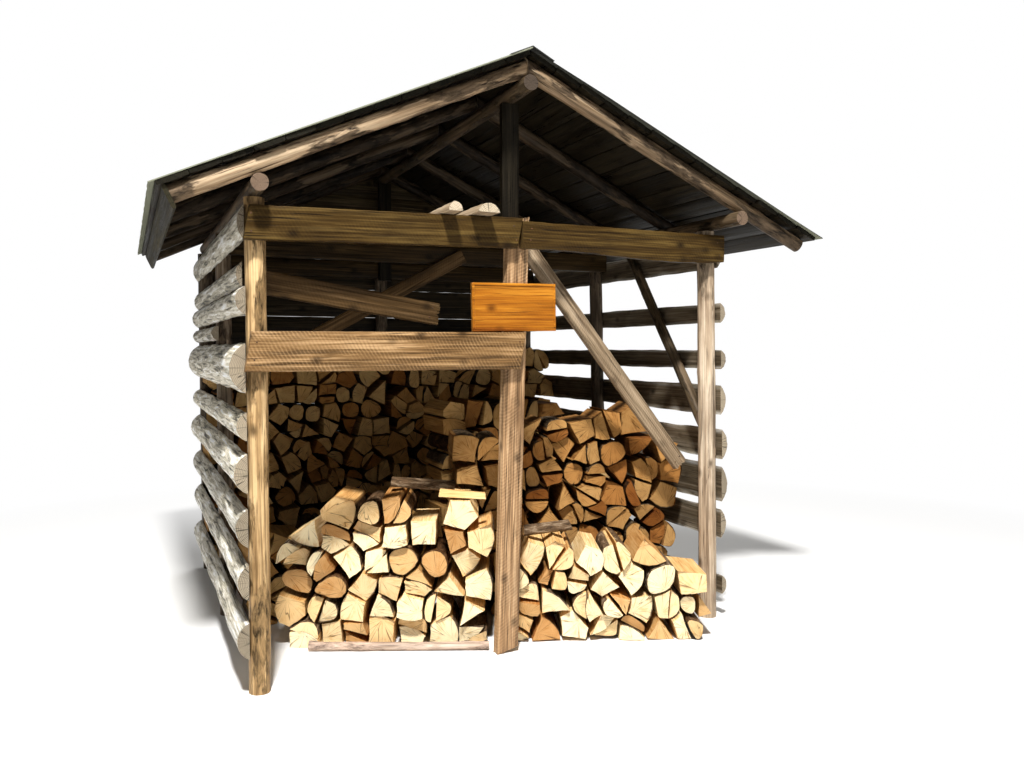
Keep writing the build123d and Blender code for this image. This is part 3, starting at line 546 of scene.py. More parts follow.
class Ink:
    """Short way to add and join the nodes of a material."""

    def __init__(self, name):
        self.material = bpy.data.materials.new(name)
        self.material.use_nodes = True
        self.tree = self.material.node_tree
        self.shader = self.tree.nodes["Principled BSDF"]

    def node(self, kind, inputs=None, **settings):
        """Add a node; inputs are plain values, colours or the sockets of other nodes."""
        made = self.tree.nodes.new(kind)
        for key, value in settings.items():
            setattr(made, key, value)
        for key, value in (inputs or {}).items():
            socket = made.inputs[key]
            if isinstance(value, bpy.types.NodeSocket):
                self.tree.links.new(value, socket)
            elif socket.type == "RGBA":
                socket.default_value = (*value, 1)
            else:
                socket.default_value = value
        return made

    def wood(self):
        """Wood coordinates, and the marks for ends, bark and tone."""
        grain = self.node("ShaderNodeAttribute", attribute_name="grain").outputs["Vector"]
        marks = self.split(self.node("ShaderNodeAttribute", attribute_name="marks").outputs["Vector"])
        return grain, marks[0], marks[1], marks[2]

    def scaled(self, vector, scale):
        """Vector with each part multiplied."""
        return self.node("ShaderNodeVectorMath", {0: vector, 1: scale}, operation="MULTIPLY").outputs[0]

    def length(self, vector):
        """Length of a vector."""
        return self.node("ShaderNodeVectorMath", {0: vector}, operation="LENGTH").outputs["Value"]

    def noise(self, vector, scale, detail=4.0, rough=0.55, distortion=0.0):
        """Noise value at a vector; scale is a number, or three for the three axes."""
        if isinstance(scale, tuple):
            vector = self.scaled(vector, scale)
            scale = 1.0
        inputs = {"Vector": vector, "Scale": scale, "Detail": detail, "Roughness": rough}
        inputs["Distortion"] = distortion
        return self.node("ShaderNodeTexNoise", inputs).outputs[0]

    def math(self, operation, first, second=0.0):
        """One operation on numbers."""
        return self.node("ShaderNodeMath", {0: first, 1: second}, operation=operation).outputs[0]

    def add(self, first, second):
        """Sum of two numbers."""
        return self.math("ADD", first, second)

    def times(self, first, second):
        """Product of two numbers."""
        return self.math("MULTIPLY", first, second)

    def span(self, value, low, high):
        """Value brought from low..high to 0..1, clamped."""
        inputs = {"Value": value, "From Min": low, "From Max": high}
        return self.node("ShaderNodeMapRange", inputs).outputs[0]

    def ramp(self, value, stops, colours):
        """Colour from a value, between colours at their stops."""
        made = self.node("ShaderNodeValToRGB", {0: value})
        elements = made.color_ramp.elements
        while len(elements) < len(stops):
            elements.new(0.5)
        for element, place, colour in zip(elements, stops, colours):
            element.position = place
            element.color = (*colour, 1)
        return made.outputs[0]

    def mix(self, share, first, second, blend="MIX"):
        """Two colours mixed."""
        inputs = {0: share, 6: first, 7: second}
        return self.node("ShaderNodeMix", inputs, data_type="RGBA", blend_type=blend).outputs[2]

    def cover(self, under, over, value, span, share=1.0):
        """A colour laid over another as a value goes through a span."""
        return self.mix(self.times(self.span(value, *span), share), under, over)

    def split(self, vector):
        """The three parts of a vector."""
        return self.node("ShaderNodeSeparateXYZ", {0: vector}).outputs

    def finish(self, colour, rough, height, depth):
        """Send colour, roughness and bump to the shader."""
        links = self.tree.links
        links.new(colour, self.shader.inputs["Base Color"])
        if isinstance(rough, bpy.types.NodeSocket):
            links.new(rough, self.shader.inputs["Roughness"])
        else:
            self.shader.inputs["Roughness"].default_value = rough
        self.shader.inputs["Specular IOR Level"].default_value = SPECULAR
        inputs = {"Height": height, "Strength": BUMP_STRENGTH, "Distance": depth}
        bump = self.node("ShaderNodeBump", inputs)
        links.new(bump.outputs[0], self.shader.inputs["Normal"])
        return self.material


def shaded(colour, share):
    """The colour made darker or brighter."""
    return tuple(min(1.0, part * share) for part in colour)


def growth_rings(ink, grain, per_metre, drift, wander):
    """Wave of the growth rings, from -1 to 1, and the distance from the pith."""
    reach = ink.length(ink.scaled(grain, (0.0, 1.0, 1.0)))
    push = ink.times(ink.noise(grain, *drift), wander)
    return ink.math("SINE", ink.add(ink.times(reach, per_metre), push)), reach


def ray_vector(ink, grain, reach, fan):
    """Coordinates in which a noise runs out from the pith, as drying cracks do."""
    place = ink.split(grain)
    turn = ink.times(ink.math("ARCTAN2", place[2], place[1]), fan[0])
    parts = {0: turn, 1: place[0], 2: ink.times(reach, fan[1])}
    return ink.node("ShaderNodeCombineXYZ", parts).outputs[0]


def crack_lines(ink, vector, scale, span):
    """Thin lines where a noise crosses its middle value."""
    return ink.span(ink.math("ABSOLUTE", ink.add(ink.noise(vector, scale, 2.0), -0.5)), *span)


def wood_side(ink, grain, mixed, dark, middle, pale, stain):
    """Colour of weathered long grain, and where it has drying checks."""
    side = ink.ramp(mixed, WOOD_STOPS, (dark, middle, pale))
    check = ink.span(ink.noise(grain, *CHECK), *CHECK_SPAN)
    side = ink.mix(check, side, shaded(dark, 0.3))
    side = ink.cover(side, dark, ink.noise(grain, *PATCH), STAIN_SPAN, stain)
    side = ink.cover(side, shaded(dark, 0.5), ink.noise(grain, *STREAK), STREAK_SPAN, STREAK_SHARE)
    knot = ink.node("ShaderNodeTexVoronoi", {"Vector": ink.scaled(grain, KNOT), "Scale": 1.0}).outputs[0]
    return ink.cover(side, shaded(dark, 0.6), knot, KNOT_SPAN, KNOT_SHARE), check


def saw_marks(ink, grain, side, dark, pale, saw):
    """Long grain with the slanting marks of a saw, and the height of the marks."""
    place = ink.split(grain)
    slant = ink.add(ink.times(place[0], SAW_SLANT[0]), ink.times(place[1], SAW_SLANT[1]))
    drift = ink.noise(grain, *SAW_DRIFT)
    wave = ink.math("SINE", ink.add(slant, ink.times(drift, SAW_WANDER)))
    cut = ink.add(0.5, ink.times(wave, ink.times(ink.span(drift, *SAW_DRIFT_SPAN), SAW_DEPTH)))
    side = ink.cover(side, pale, cut, SAW_PALE_SPAN, saw * SAW_PALE_SHARE)
    side = ink.cover(side, dark, cut, SAW_DARK_SPAN, saw * SAW_DARK_SHARE)
    return side, ink.times(cut, saw * SAW_RELIEF)


def ring_end(ink, grain, end):
    """Weathered end grain with growth rings and cracks."""
    rings, reach = growth_rings(ink, grain, RINGS_PER_METRE, RING_DRIFT, RING_WANDER)
    colour = ink.ramp(ink.span(rings, -1.0, 1.0), RING_STOPS, (shaded(end, 0.5), end))
    cracks = crack_lines(ink, ray_vector(ink, grain, reach, CRACK_FAN), CRACK_SCALE, CRACK_SPAN)
    return ink.mix(cracks, colour, shaded(end, 0.2))


def silvered(ink, grain, mixed, colour, middle, silver):
    """Wood that has gone grey where it faces the back, in the weather; the other faces keep the darker
    colours, which are painted shade.
    """
    facing = ink.split(ink.node("ShaderNodeNewGeometry").outputs["True Normal"])[1]
    grey = ink.ramp(mixed, BARK_STOPS, (shaded(silver, 0.35), silver, shaded(silver, 1.6)))
    grey = ink.cover(grey, middle, ink.noise(grain, *PATCH), SILVER_STAIN_SPAN, 0.5)
    return ink.cover(colour, grey, facing, SILVER_SPAN, SILVER_SHARE)


def old_wood(name, dark, middle, pale, end, saw=0.0, bark=None, bark_share=0.0, stain=0.5,
             tones=(0.8, 1.2), flakes=(9.0, 34.0, 34.0), contrast=1.7, silver=None):
    """Weathered wood with the grain along the piece, checks, stains and rings on its ends."""
    ink = Ink(name)
    grain, is_end, bark_mark, tone = ink.wood()
    fibre = ink.times(ink.noise(grain, *FIBRE), FIBRE_SHARE)
    mixed = ink.add(fibre, ink.times(ink.noise(grain, *BROAD), 1.0 - FIBRE_SHARE))
    side, check = wood_side(ink, grain, mixed, dark, middle, pale, stain)
    height = ink.math("SUBTRACT", mixed, check)
    if saw:
        side, relief = saw_marks(ink, grain, side, dark, pale, saw)
        height = ink.add(height, relief)
    colour = ink.mix(is_end, side, ring_end(ink, grain, end))
    if bark:
        flake = ink.noise(grain, flakes, *BARK_FLAKES)
        colours = (shaded(bark, 0.5 / contrast ** 2), bark, shaded(bark, contrast))
        share = bark_mark
        if bark_share:
            low, high = (stop - bark_share * BARK_SHIFT for stop in BARK_SPAN)
            spots = ink.span(ink.noise(grain, *BARK_SPOT), low, high)
            share = ink.math("MAXIMUM", spots, bark_mark)
        share = ink.times(share, ink.math("SUBTRACT", 1.0, is_end))
        colour = ink.mix(share, colour, ink.ramp(flake, BARK_STOPS, colours))
        height = ink.add(height, ink.times(share, ink.times(flake, BARK_RELIEF)))
    if silver:
        colour = silvered(ink, grain, mixed, colour, middle, silver)
    toned = ink.add(tones[0], ink.times(tone, tones[1] - tones[0]))
    shade = ink.node("ShaderNodeCombineColor", {0: toned, 1: toned, 2: toned}).outputs[0]
    colour = ink.mix(1.0, colour, shade, "MULTIPLY")
    return ink.finish(colour, ink.span(mixed, *ROUGH_SPAN), height, WOOD_BUMP)


def split_wood(name, pale, gold, deep, bark, bark_pale):
    """Firewood: fresh split faces, end grain with rings and drying cracks, and bark."""
    ink = Ink(name)
    grain, is_end, bark_mark, tone = ink.wood()
    fibre = ink.noise(grain, *SPLIT_FIBRE)
    broad = ink.noise(grain, *SPLIT_BROAD)
    mixed = ink.add(ink.times(fibre, SPLIT_FIBRE_SHARE), ink.times(broad, 1.0 - SPLIT_FIBRE_SHARE))
    side = ink.ramp(mixed, SPLIT_STOPS, (deep, gold, pale))
    rings, reach = growth_rings(ink, grain, LOG_RINGS_PER_METRE, LOG_RING_DRIFT, LOG_RING_WANDER)
    fan = ray_vector(ink, grain, reach, LOG_FAN)
    crack = ink.times(crack_lines(ink, fan, LOG_CRACK_SCALE, LOG_CRACK_SPAN), is_end)
    crack = ink.times(crack, CRACK_SHARE)
    end_value = ink.add(ink.times(broad, 0.5), ink.times(ink.noise(fan, *LOG_RAYS), 0.5))
    end_value = ink.add(ink.times(rings, LOG_RING_SHARE), end_value)
    end = ink.ramp(end_value, SPLIT_END_STOPS, (gold, pale, shaded(pale, 1.06)))
    end = ink.cover(end, gold, ink.noise(grain, *DIRT), DIRT_SPAN, DIRT_SHARE)
    colour = ink.mix(is_end, side, end)
    colour = ink.mix(crack, colour, shaded(deep, 0.25))
    flake = ink.noise(grain, *SPLIT_BARK)
    bark_colour = ink.ramp(flake, SPLIT_BARK_STOPS, (shaded(bark, 0.3), bark, bark_pale))
    bark_side = ink.span(bark_mark, *BARK_SIDE_SPAN)
    rim = ink.times(ink.span(bark_mark, *BARK_RIM_SPAN), is_end)
    share = ink.math("MAXIMUM", ink.times(bark_side, ink.math("SUBTRACT", 1.0, is_end)), rim)
    colour = ink.mix(share, colour, bark_colour)
    colour = ink.mix(1.0, colour, ink.ramp(tone, TONE_STOPS, TONE_COLOURS), "MULTIPLY")
    relief = ink.math("SUBTRACT", ink.times(bark_side, ink.times(flake, SPLIT_BARK_RELIEF)), crack)
    height = ink.add(ink.add(fibre, ink.times(rings, LOG_RING_RELIEF)), relief)
    return ink.finish(colour, LOG_ROUGH, height, LOG_BUMP)


def roofing(name):
    """Near-black roofing sheet, dusty, with paler worn edges."""
    ink = Ink(name)
    grain, _, worn, _ = ink.wood()
    dust = ink.noise(grain, *DUST)
    grit = ink.noise(grain, *GRIT)
    value = ink.add(ink.times(dust, 0.5), ink.times(ink.noise(grain, *RUNS), 0.5))
    colour = ink.ramp(value, ROOFING_STOPS, ROOFING_COLOURS)
    colour = ink.mix(ink.times(worn, WORN_SHARE), colour, WORN_EDGE)
    colour = ink.cover(colour, GRIT_COLOUR, grit, GRIT_SPAN, GRIT_SHARE)
    return ink.finish(colour, ROOFING_ROUGH, ink.add(grit, dust), ROOFING_BUMP)


def old_iron(name):
    """Nail heads: dark iron with rust."""
    ink = Ink(name)
    grain = ink.wood()[0]
    fine = ink.noise(grain, *PITTING)
    colour = ink.ramp(ink.noise(grain, *RUST), RUST_STOPS, RUST_COLOURS)
    return ink.finish(colour, ink.span(fine, *IRON_ROUGH_SPAN), fine, IRON_BUMP)


# Colours of old wood: dark, middle, pale and end grain, and what else it has
OLD_WOODS = {
    "post_warm": ((0.15, 0.085, 0.034), (0.39, 0.245, 0.11), (0.62, 0.43, 0.22), (0.5, 0.37, 0.2),
        {"bark": (0.20, 0.125, 0.055), "bark_share": 0.35, "stain": 0.7}),
    "post_grey": ((0.13, 0.085, 0.05), (0.39, 0.29, 0.195), (0.66, 0.54, 0.40), (0.5, 0.4, 0.27),
        {"bark": (0.2, 0.15, 0.1), "bark_share": 0.1}),
    "post_dark": ((0.06, 0.042, 0.026), (0.14, 0.103, 0.068), (0.25, 0.195, 0.14), (0.3, 0.23, 0.15),
        {"bark": (0.09, 0.065, 0.042), "bark_share": 0.4}),
    "plank_post": ((0.09, 0.05, 0.025), (0.35, 0.205, 0.10), (0.65, 0.44, 0.25), (0.36, 0.24, 0.14),
        {"saw": 0.5}),
    # Tie colours darkened for the shade under the eave: painted shade.
    "tie": ((0.016, 0.008, 0.002), (0.050, 0.027, 0.006), (0.115, 0.070, 0.018), (0.10, 0.06, 0.02),
        {"saw": 0.3}),
    # Loose-board colours darkened for the shade behind the tie: painted shade.
    "loose": ((0.030, 0.016, 0.005), (0.078, 0.043, 0.015), (0.16, 0.095, 0.042), (0.16, 0.10, 0.04),
        {"saw": 0.3}),
    # Inner timbers darkened for the shade inside the store: painted shade.
    "inner": ((0.010, 0.006, 0.002), (0.032, 0.018, 0.006), (0.078, 0.048, 0.018), (0.09, 0.055, 0.02),
        {"saw": 0.25}),
    # The low end of the rafter tones darkens the rafters under the roof: painted shade.
    "rafter": ((0.17, 0.11, 0.06), (0.37, 0.25, 0.145), (0.56, 0.42, 0.27), (0.60, 0.46, 0.30),
        {"bark": (0.11, 0.075, 0.045), "bark_share": 0.5, "tones": (0.10, 1.0)}),
    "plate": ((0.03, 0.02, 0.01), (0.08, 0.053, 0.028), (0.16, 0.11, 0.065), (0.20, 0.135, 0.09),
        {"bark": (0.05, 0.035, 0.02), "bark_share": 0.4}),
    # The ridge pole's end grain is darkened for the shade under the ridge: painted shade. Its sides share
    # the plate's colours.
    "ridge": ((0.03, 0.02, 0.01), (0.08, 0.053, 0.028), (0.16, 0.11, 0.065), (0.075, 0.055, 0.04),
        {"bark": (0.05, 0.035, 0.02), "bark_share": 0.4}),
    # Near-black roof boards, darkened for the shade under the roof: painted shade. The king posts use
    # them too.
    "roof_board": ((0.005, 0.004, 0.0025), (0.012, 0.009, 0.005), (0.03, 0.023, 0.013),
        (0.015, 0.013, 0.008), {"saw": 0.2}),
    "front_board": ((0.05, 0.025, 0.009), (0.20, 0.11, 0.042), (0.47, 0.30, 0.15), (0.28, 0.18, 0.09),
        {"saw": 0.8}),
    "brace": ((0.14, 0.09, 0.05), (0.36, 0.26, 0.16), (0.56, 0.44, 0.30), (0.66, 0.54, 0.38),
        {"saw": 0.4}),
    # Wall-board colours darkened for the shade inside: painted shade on the inward faces. The grey where
    # they face the back is weathering.
    "wall_board": ((0.014, 0.009, 0.004), (0.038, 0.026, 0.012), (0.085, 0.062, 0.032),
        (0.10, 0.075, 0.04), {"saw": 0.3, "tones": (0.55, 1.45), "silver": (0.21, 0.18, 0.14)}),
    # The slabs' sawn faces are darkened for the shade inside: painted shade. Bark and ends keep their own
    # colours.
    "slab": ((0.05, 0.036, 0.021), (0.125, 0.095, 0.06), (0.23, 0.185, 0.13), (0.33, 0.27, 0.19),
        {"bark": (0.60, 0.54, 0.41), "flakes": (3.0, 46.0, 46.0), "contrast": 2.4}),
    "sign": ((0.17, 0.045, 0.004), (0.36, 0.12, 0.008), (0.54, 0.22, 0.02), (0.30, 0.12, 0.02),
        {"saw": 0.1, "stain": 0.25}),
    # Eave-board colours darkened for the shade under the roof edge: painted shade.
    "eave_board": ((0.010, 0.008, 0.004), (0.026, 0.021, 0.010), (0.06, 0.05, 0.026),
        (0.03, 0.026, 0.014), {"saw": 0.2}),
    "base_pole": ((0.25, 0.17, 0.12), (0.50, 0.37, 0.28), (0.70, 0.57, 0.46), (0.7, 0.55, 0.36),
        {"bark": (0.40, 0.29, 0.22), "bark_share": 0.6}),
}
# Colours of split wood: pale, gold, deep, bark and pale bark
SPLIT_WOODS = {
    "log_front": ((0.94, 0.80, 0.52), (0.78, 0.54, 0.25), (0.42, 0.22, 0.075), (0.13, 0.085, 0.05),
        (0.38, 0.31, 0.23)),
    # A darker copy of the front split wood for the middle-right rank: its darkness is painted shade.
    "log_painted_half_shade": ((0.42, 0.24, 0.085), (0.25, 0.12, 0.034), (0.12, 0.05, 0.013), (0.06, 0.04, 0.022),
        (0.2, 0.15, 0.1)),
    # A darker copy of the front split wood for the ranks behind the front ones: its darkness is painted
    # shade.
    "log_shade": ((0.58, 0.37, 0.15), (0.38, 0.22, 0.075), (0.18, 0.09, 0.03), (0.06, 0.04, 0.024),
        (0.18, 0.135, 0.09)),
}
MATERIALS = {name: old_wood(name, *colours, **more) for name, (*colours, more) in OLD_WOODS.items()}
MATERIALS.update({name: split_wood(name, *colours) for name, colours in SPLIT_WOODS.items()})
MATERIALS["roofing"] = roofing("roofing")
MATERIALS["iron"] = old_iron("iron")


def make_pole(shape, solid, rng, taper=0.06, bend=0.006, knots=5, tone=None):
    """Round pole with a slight bend, a taper, knots and uneven sides, trimmed like its solid."""
    axis = solid.long_axis()
    side = unit(np.cross(axis, (0, 0, 1) if abs(axis[2]) < STEEP else (0, 1, 0)))
    up = np.cross(side, axis)
    middle = solid.points.mean(axis=0)
    spread = solid.reach(middle, side)
    middle = middle + side * mid(spread) + up * mid(solid.reach(middle, up))
    radius = np.ptp(spread) / 2
    reach = solid.reach(middle, axis)
    low = reach.min()
    high = reach.max()
    steps = np.linspace(low - POLE_SPARE, high + POLE_SPARE, max(4, int((high - low) / RING_STEP)))
    angles = np.arange(POLE_SIDES) * 2 * math.pi / POLE_SIDES
    share = (steps - low) / (high - low)
    size = radius * (1 - taper * share)[:, None] * np.ones(POLE_SIDES)
    size *= 1 + ripple(steps, rng, POLE_WAVES, POLE_SWELL)[:, None]
    for lobes in POLE_LOBES:
        turn = rng.uniform(0, ALL_ROUND)
        depth = rng.uniform(*LOBE_SIZE)
        twist = steps[:, None] * rng.uniform(-LOBE_TWIST, LOBE_TWIST)
        size *= 1 + depth * np.sin(lobes * angles + turn + twist)
    for _ in range(knots):
        spot = rng.uniform(low, high)
        facing = rng.uniform(0, ALL_ROUND)
        near = np.exp(-((steps - spot) / KNOT_LENGTH) ** 2)[:, None]
        near = near * np.exp(-((np.cos(angles - facing) - 1) / KNOT_WIDTH) ** 2)
        size += near * rng.uniform(*KNOT_SIZE)
    section = np.stack([np.cos(angles) * size, np.sin(angles) * size], axis=2)
    sway = 1 - (2 * share - 1) ** 2
    for part, waves in enumerate(SWAY_WAVES):
        line = sway * rng.uniform(-bend, bend) + ripple(steps, rng, waves, bend * SWAY_SHARE)
        section[:, :, part] += line[:, None]
    tone = rng.random() if tone is None else tone
    sweep(shape, middle, (axis, side, up), steps, section, rng, tone, cuts=solid.end_planes(axis))


def make_rafters(node, seed, front_tone):
    """The rafters of one slope: the front one pale and barky, the others darkened as painted shade under
    the roof.
    """
    rng = random.Random(seed)
    shape = Shape()
    solids = sorted(solids_of(node), key=lambda solid: solid.points[:, 1].min())
    for index, solid in enumerate(solids):
        tone = rng.uniform(0, RAFTER_PAINTED_SHADE) if index else front_tone
        make_pole(shape, solid, rng, taper=RAFTER_TAPER, tone=tone)
    shape.build(f"{node}_look", MATERIALS["rafter"], "rafter_pole", node)


def make_sign(node):
    """Sign board with a raised edge round its bare, routed face."""
    rng = random.Random(SIGN_SEED)
    solid = solids_of(node)[0]
    along = solid.long_axis()
    up = np.array((0.0, -1.0, 0.0))
    across = np.cross(up, along)
    middle = (solid.points.max(axis=0) + solid.points.min(axis=0)) / 2
    half, tall, thick = (solid.reach(middle, axis).max() for axis in (along, across, up))
    steps = bordered(half, SIGN_COLUMNS)
    heights = bordered(tall, SIGN_ROWS)
    rows = []
    for height in heights:
        inside = (np.abs(steps) <= half - SIGN_BORDER) & (abs(height) <= tall - SIGN_BORDER)
        edge = (np.abs(steps) > half - SIGN_STEP) | (abs(height) > tall - SIGN_STEP)
        level = np.where(inside, thick - SIGN_ROUT, thick) - np.where(edge, SIGN_EASE, 0)
        rows.append((height, level))
    rows.extend((height, -thick) for height in heights[::-1])
    section = section_of(rows[::-1], steps)
    shape = Shape()
    sweep(shape, middle, (along, across, up), steps, section, rng, 0.5, pith=SIGN_PITH, rim=SIGN_RIM)
    shape.build(f"{node}_look", MATERIALS["sign"], "sign_wood", node)


def bordered(half, count):
    """Places from edge to edge of the sign, with steps at its eased edge and at its border."""
    inner = half - SIGN_BORDER
    outer = (half, half - SIGN_EASE, inner + SIGN_STEP)
    return np.concatenate([[-place for place in outer], np.linspace(-inner, inner, count), outer[::-1]])


def make_cap(node):
    """Bent ridge strip: two flat wings that meet at the fold, with small dents along them."""
    rng = random.Random(CAP_SEED)
    solid = solids_of(node)[0]
    front = solid.points[:, 1].min()
    steps = np.linspace(0, np.ptp(solid.points[:, 1]), CAP_STEPS)
    fold = [(x, z) for x, y, z in solid.points if y < front + NEARLY]
    corners = sorted({(round(x, DIGITS), round(z, DIGITS)) for x, z in fold})
    axes = (np.array((0.0, 1.0, 0.0)), np.array((1.0, 0.0, 0.0)), np.array((0.0, 0.0, 1.0)))
    shape = Shape()
    for wing in (corners[:4], corners[2:]):
        rows = []
        for across, height in hull(wing):
            rows.append((across, height - np.abs(ripple(steps, rng, CAP_WAVES, CAP_DENT))))
        section = section_of(rows[::-1], steps)
        sweep(shape, np.array((0.0, front, 0.0)), axes, steps, section, rng, 0.5)
    shape.build(f"{node}_look", MATERIALS["roofing"], "roof_sheet", node)


def slice_limits(solid, origin, along, across, steps):
    """Lowest and highest reach of a flat solid at each step along it."""
    along_reach = solid.reach(origin, along)
    across_reach = solid.reach(origin, across)
    lows = np.full(len(steps), np.inf)
    highs = np.full(len(steps), -np.inf)
    for first, last in solid.edges:
        start, end = along_reach[first], along_reach[last]
        if abs(end - start) < NEARLY:
            continue
        share = (steps - start) / (end - start)
        inside = (share >= -NEARLY) & (share <= 1 + NEARLY)
        value = across_reach[first] + (across_reach[last] - across_reach[first]) * share
        lows[inside] = np.minimum(lows[inside], value[inside])
        highs[inside] = np.maximum(highs[inside], value[inside])
    return lows, highs


def plank_section(lows, highs, thickness, rng, steps, wobble, across_count):
    """Rings of a plank: a rectangle with eased corners and slightly wandering edges."""
    ease = min(PLANK_EASE, thickness * PLANK_EASE_SHARE)
    half = thickness / 2
    low_edge = lows + np.abs(ripple(steps, rng, LOW_EDGE_WAVES, wobble))
    high_edge = highs - np.abs(ripple(steps, rng, HIGH_EDGE_WAVES, wobble))
    cup = rng.uniform(-PLANK_CUP, PLANK_CUP)
    rows = []
    for sign in (-1, 1):
        for share in np.linspace(0, 1, across_count)[::-sign]:
            value = low_edge + (high_edge - low_edge) * share
            edge = 1 if share == 0 else -1 if share == 1 else 0
            height = sign * (half - ease * 0.5 * abs(edge)) + cup * (2 * share - 1) ** 2
            if not edge:
                height = height + ripple(steps, rng, FACE_WAVES, PLANK_ROUGH)
            rows.append((value + edge * ease * PLANK_EASE_IN, height))
        corner = high_edge if sign < 0 else low_edge
        side = sign * (half - ease)
        wander = ripple(steps, rng, EDGE_WAVES, PLANK_ROUGH)
        rows.extend([(corner, side), (corner + wander, 0.0), (corner, -side)])
    return section_of(rows, steps)


def make_plank(shape, solid, rng, wobble=0.002, step=0.03, across_count=9, grow=0.0, torn=0.0):
    """Sawn plank or board that fills a flat solid, its thickness along the broad normal."""
    along, across, up = solid.flat_axes()
    middle = solid.points.mean(axis=0)
    reach = solid.reach(middle, along)
    heights = solid.reach(middle, up)
    middle = middle + up * mid(heights)
    count = max(3, int(np.ptp(reach) / step))
    steps = np.linspace(reach.min() + INSIDE, reach.max() - INSIDE, count)
    lows, highs = slice_limits(solid, middle, along, across, steps)
    section = plank_section(lows - grow, highs + grow, np.ptp(heights), rng, steps, wobble, across_count)
    pith = (rng.uniform(-PITH_ACROSS, PITH_ACROSS), rng.choice((-1, 1)) * rng.uniform(*PITH_BELOW))
    sweep(shape, middle, (along, across, up), steps, section, rng, rng.random(), pith=pith, torn=torn)


def make_sheet(shape, solid, rng):
    """Roofing laid in courses that lap down the slope, with uneven lap edges."""
    along, across, up = solid.flat_axes((0, 0, 1))
    across = across if across[2] > 0 else -across
    middle = solid.points.mean(axis=0)
    reach = solid.reach(middle, along)
    heights = solid.reach(middle, up)
    half = np.ptp(heights) / 2
    middle = middle + up * mid(heights)
    steps = np.linspace(reach.min() + INSIDE, reach.max() - INSIDE, int(np.ptp(reach) / SHEET_STEP))
    lows, highs = slice_limits(solid, middle, along, across, steps)
    lows = lows + np.abs(ripple(steps, rng, LOW_EDGE_WAVES, SHEET_WANDER))
    laps = np.linspace(0, 1, SHEET_COURSES + 1)
    rows = []
    for course in range(SHEET_COURSES):
        start, end = laps[course], laps[course + 1]
        wander = ripple(steps, rng, LAP_WAVES, SHEET_WANDER) if course else 0 * steps
        buckle = np.abs(ripple(steps, rng, BUCKLE_WAVES, SHEET_LAP * BUCKLE_SHARE))
        if course:
            lip = lows + (highs - lows) * start + wander - SHEET_LIP
            rows.append((lip, half - SHEET_LAP))
        for share in np.linspace(0, 1, SHEET_ROWS)[:-1]:
            spot = lows + (highs - lows) * (start + (end - start) * share)
            level = half - SHEET_LAP * share - buckle * math.sin(math.pi * share)
            rows.append((spot + wander * (1 - share), level))
            if share == 0 and not course:
                rows.append((spot + SHEET_WORN, level))
    rows.extend([(highs, half - SHEET_LAP), (highs, -half), (lows, -half)])
    section = section_of(rows, steps)
    if np.cross(across, up) @ along < 0:
        section = section[:, ::-1]
    bark = [0.0] * len(rows)
    bark[0] = bark[-1] = 1.0
    sweep(shape, middle, (along, across, up), steps, section, rng, rng.random(), bark=bark)


def make_slab(shape, solid, rng):
    """Half-round slab with barky, lumpy outside and waney edges."""
    along, across, flat = solid.flat_axes()
    middle = solid.points.mean(axis=0)
    reach = solid.reach(middle, along)
    widths = solid.reach(middle, across)
    heights = solid.reach(middle, flat)
    middle = middle + flat * heights.max() + across * mid(widths)
    thickness = np.ptp(heights)
    half = np.ptp(widths) / 2
    steps = np.linspace(reach.min(), reach.max(), int(np.ptp(reach) / RING_STEP))
    crown_radius = (half ** 2 + thickness ** 2) / (2 * thickness)
    spread = math.asin(min(1.0, half / crown_radius))
    if thickness > half:
        spread = math.pi - spread
    wide = 1 + ripple(steps, rng, SLAB_WIDTH_WAVES, SLAB_WIDTH_SWELL)
    thick = 1 + ripple(steps, rng, SLAB_CROWN_WAVES, SLAB_CROWN_SWELL)
    rows = []
    for turn in np.linspace(-spread, spread, SLAB_TURNS):
        place = math.sin(turn) * crown_radius * wide
        height = (math.cos(turn) * crown_radius - (crown_radius - thickness)) * thick
        edge = math.cos(turn / spread * math.pi / 2)
        height = height + ripple(steps, rng, SLAB_LUMP_WAVES, SLAB_LUMPS) * edge
        rows.append((place, -np.maximum(height, SLAB_LEAST)))
    for share in SLAB_BACK:
        back = ripple(steps, rng, SLAB_BACK_WAVES, PLANK_ROUGH) - SLAB_BACK_PLACE
        rows.append((share * half * wide, back))
    bark = [0.5] + [1.0] * (SLAB_TURNS - 2) + [0.5] + [0.0] * len(SLAB_BACK)
    sweep(shape, middle, (along, across, flat), steps, section_of(rows, steps), rng, rng.random(),
          bark=bark, pith=(0.0, crown_radius - thickness))


def bulged(start, end, bulge, count):
    """Points from start to just before end, on a line that bulges to its right."""
    side = np.array([end[1] - start[1], start[0] - end[0]])
    shares = (np.arange(count) / count)[:, None]
    return start + shares * (end - start) + (4 * shares * (1 - shares) * bulge) * side


def hull(points):
    """Corners of the convex hull of flat points, counter-clockwise."""
    rows = sorted({(round(x, DIGITS), round(y, DIGITS)) for x, y in points})
    corners = []
    for line in (rows, rows[::-1]):
        chain = []
        for point in line:
            while len(chain) > 1:
                last = np.array(chain[-1])
                if np.cross(last - chain[-2], point - last) > STRAIGHT:
                    break
                chain.pop()
            chain.append(point)
        corners.extend(chain[:-1])
    return [np.array(corner) for corner in corners]


def fewer_corners(outline, wanted):
    """Leave out the corners that change a convex outline least."""
    outline = list(outline)
    while len(outline) > wanted:
        areas = []
        for place, here in enumerate(outline):
            after = outline[(place + 1) % len(outline)]
            areas.append(abs(np.cross(here - outline[place - 1], after - here)))
        outline.pop(int(np.argmin(areas)))
    return outline


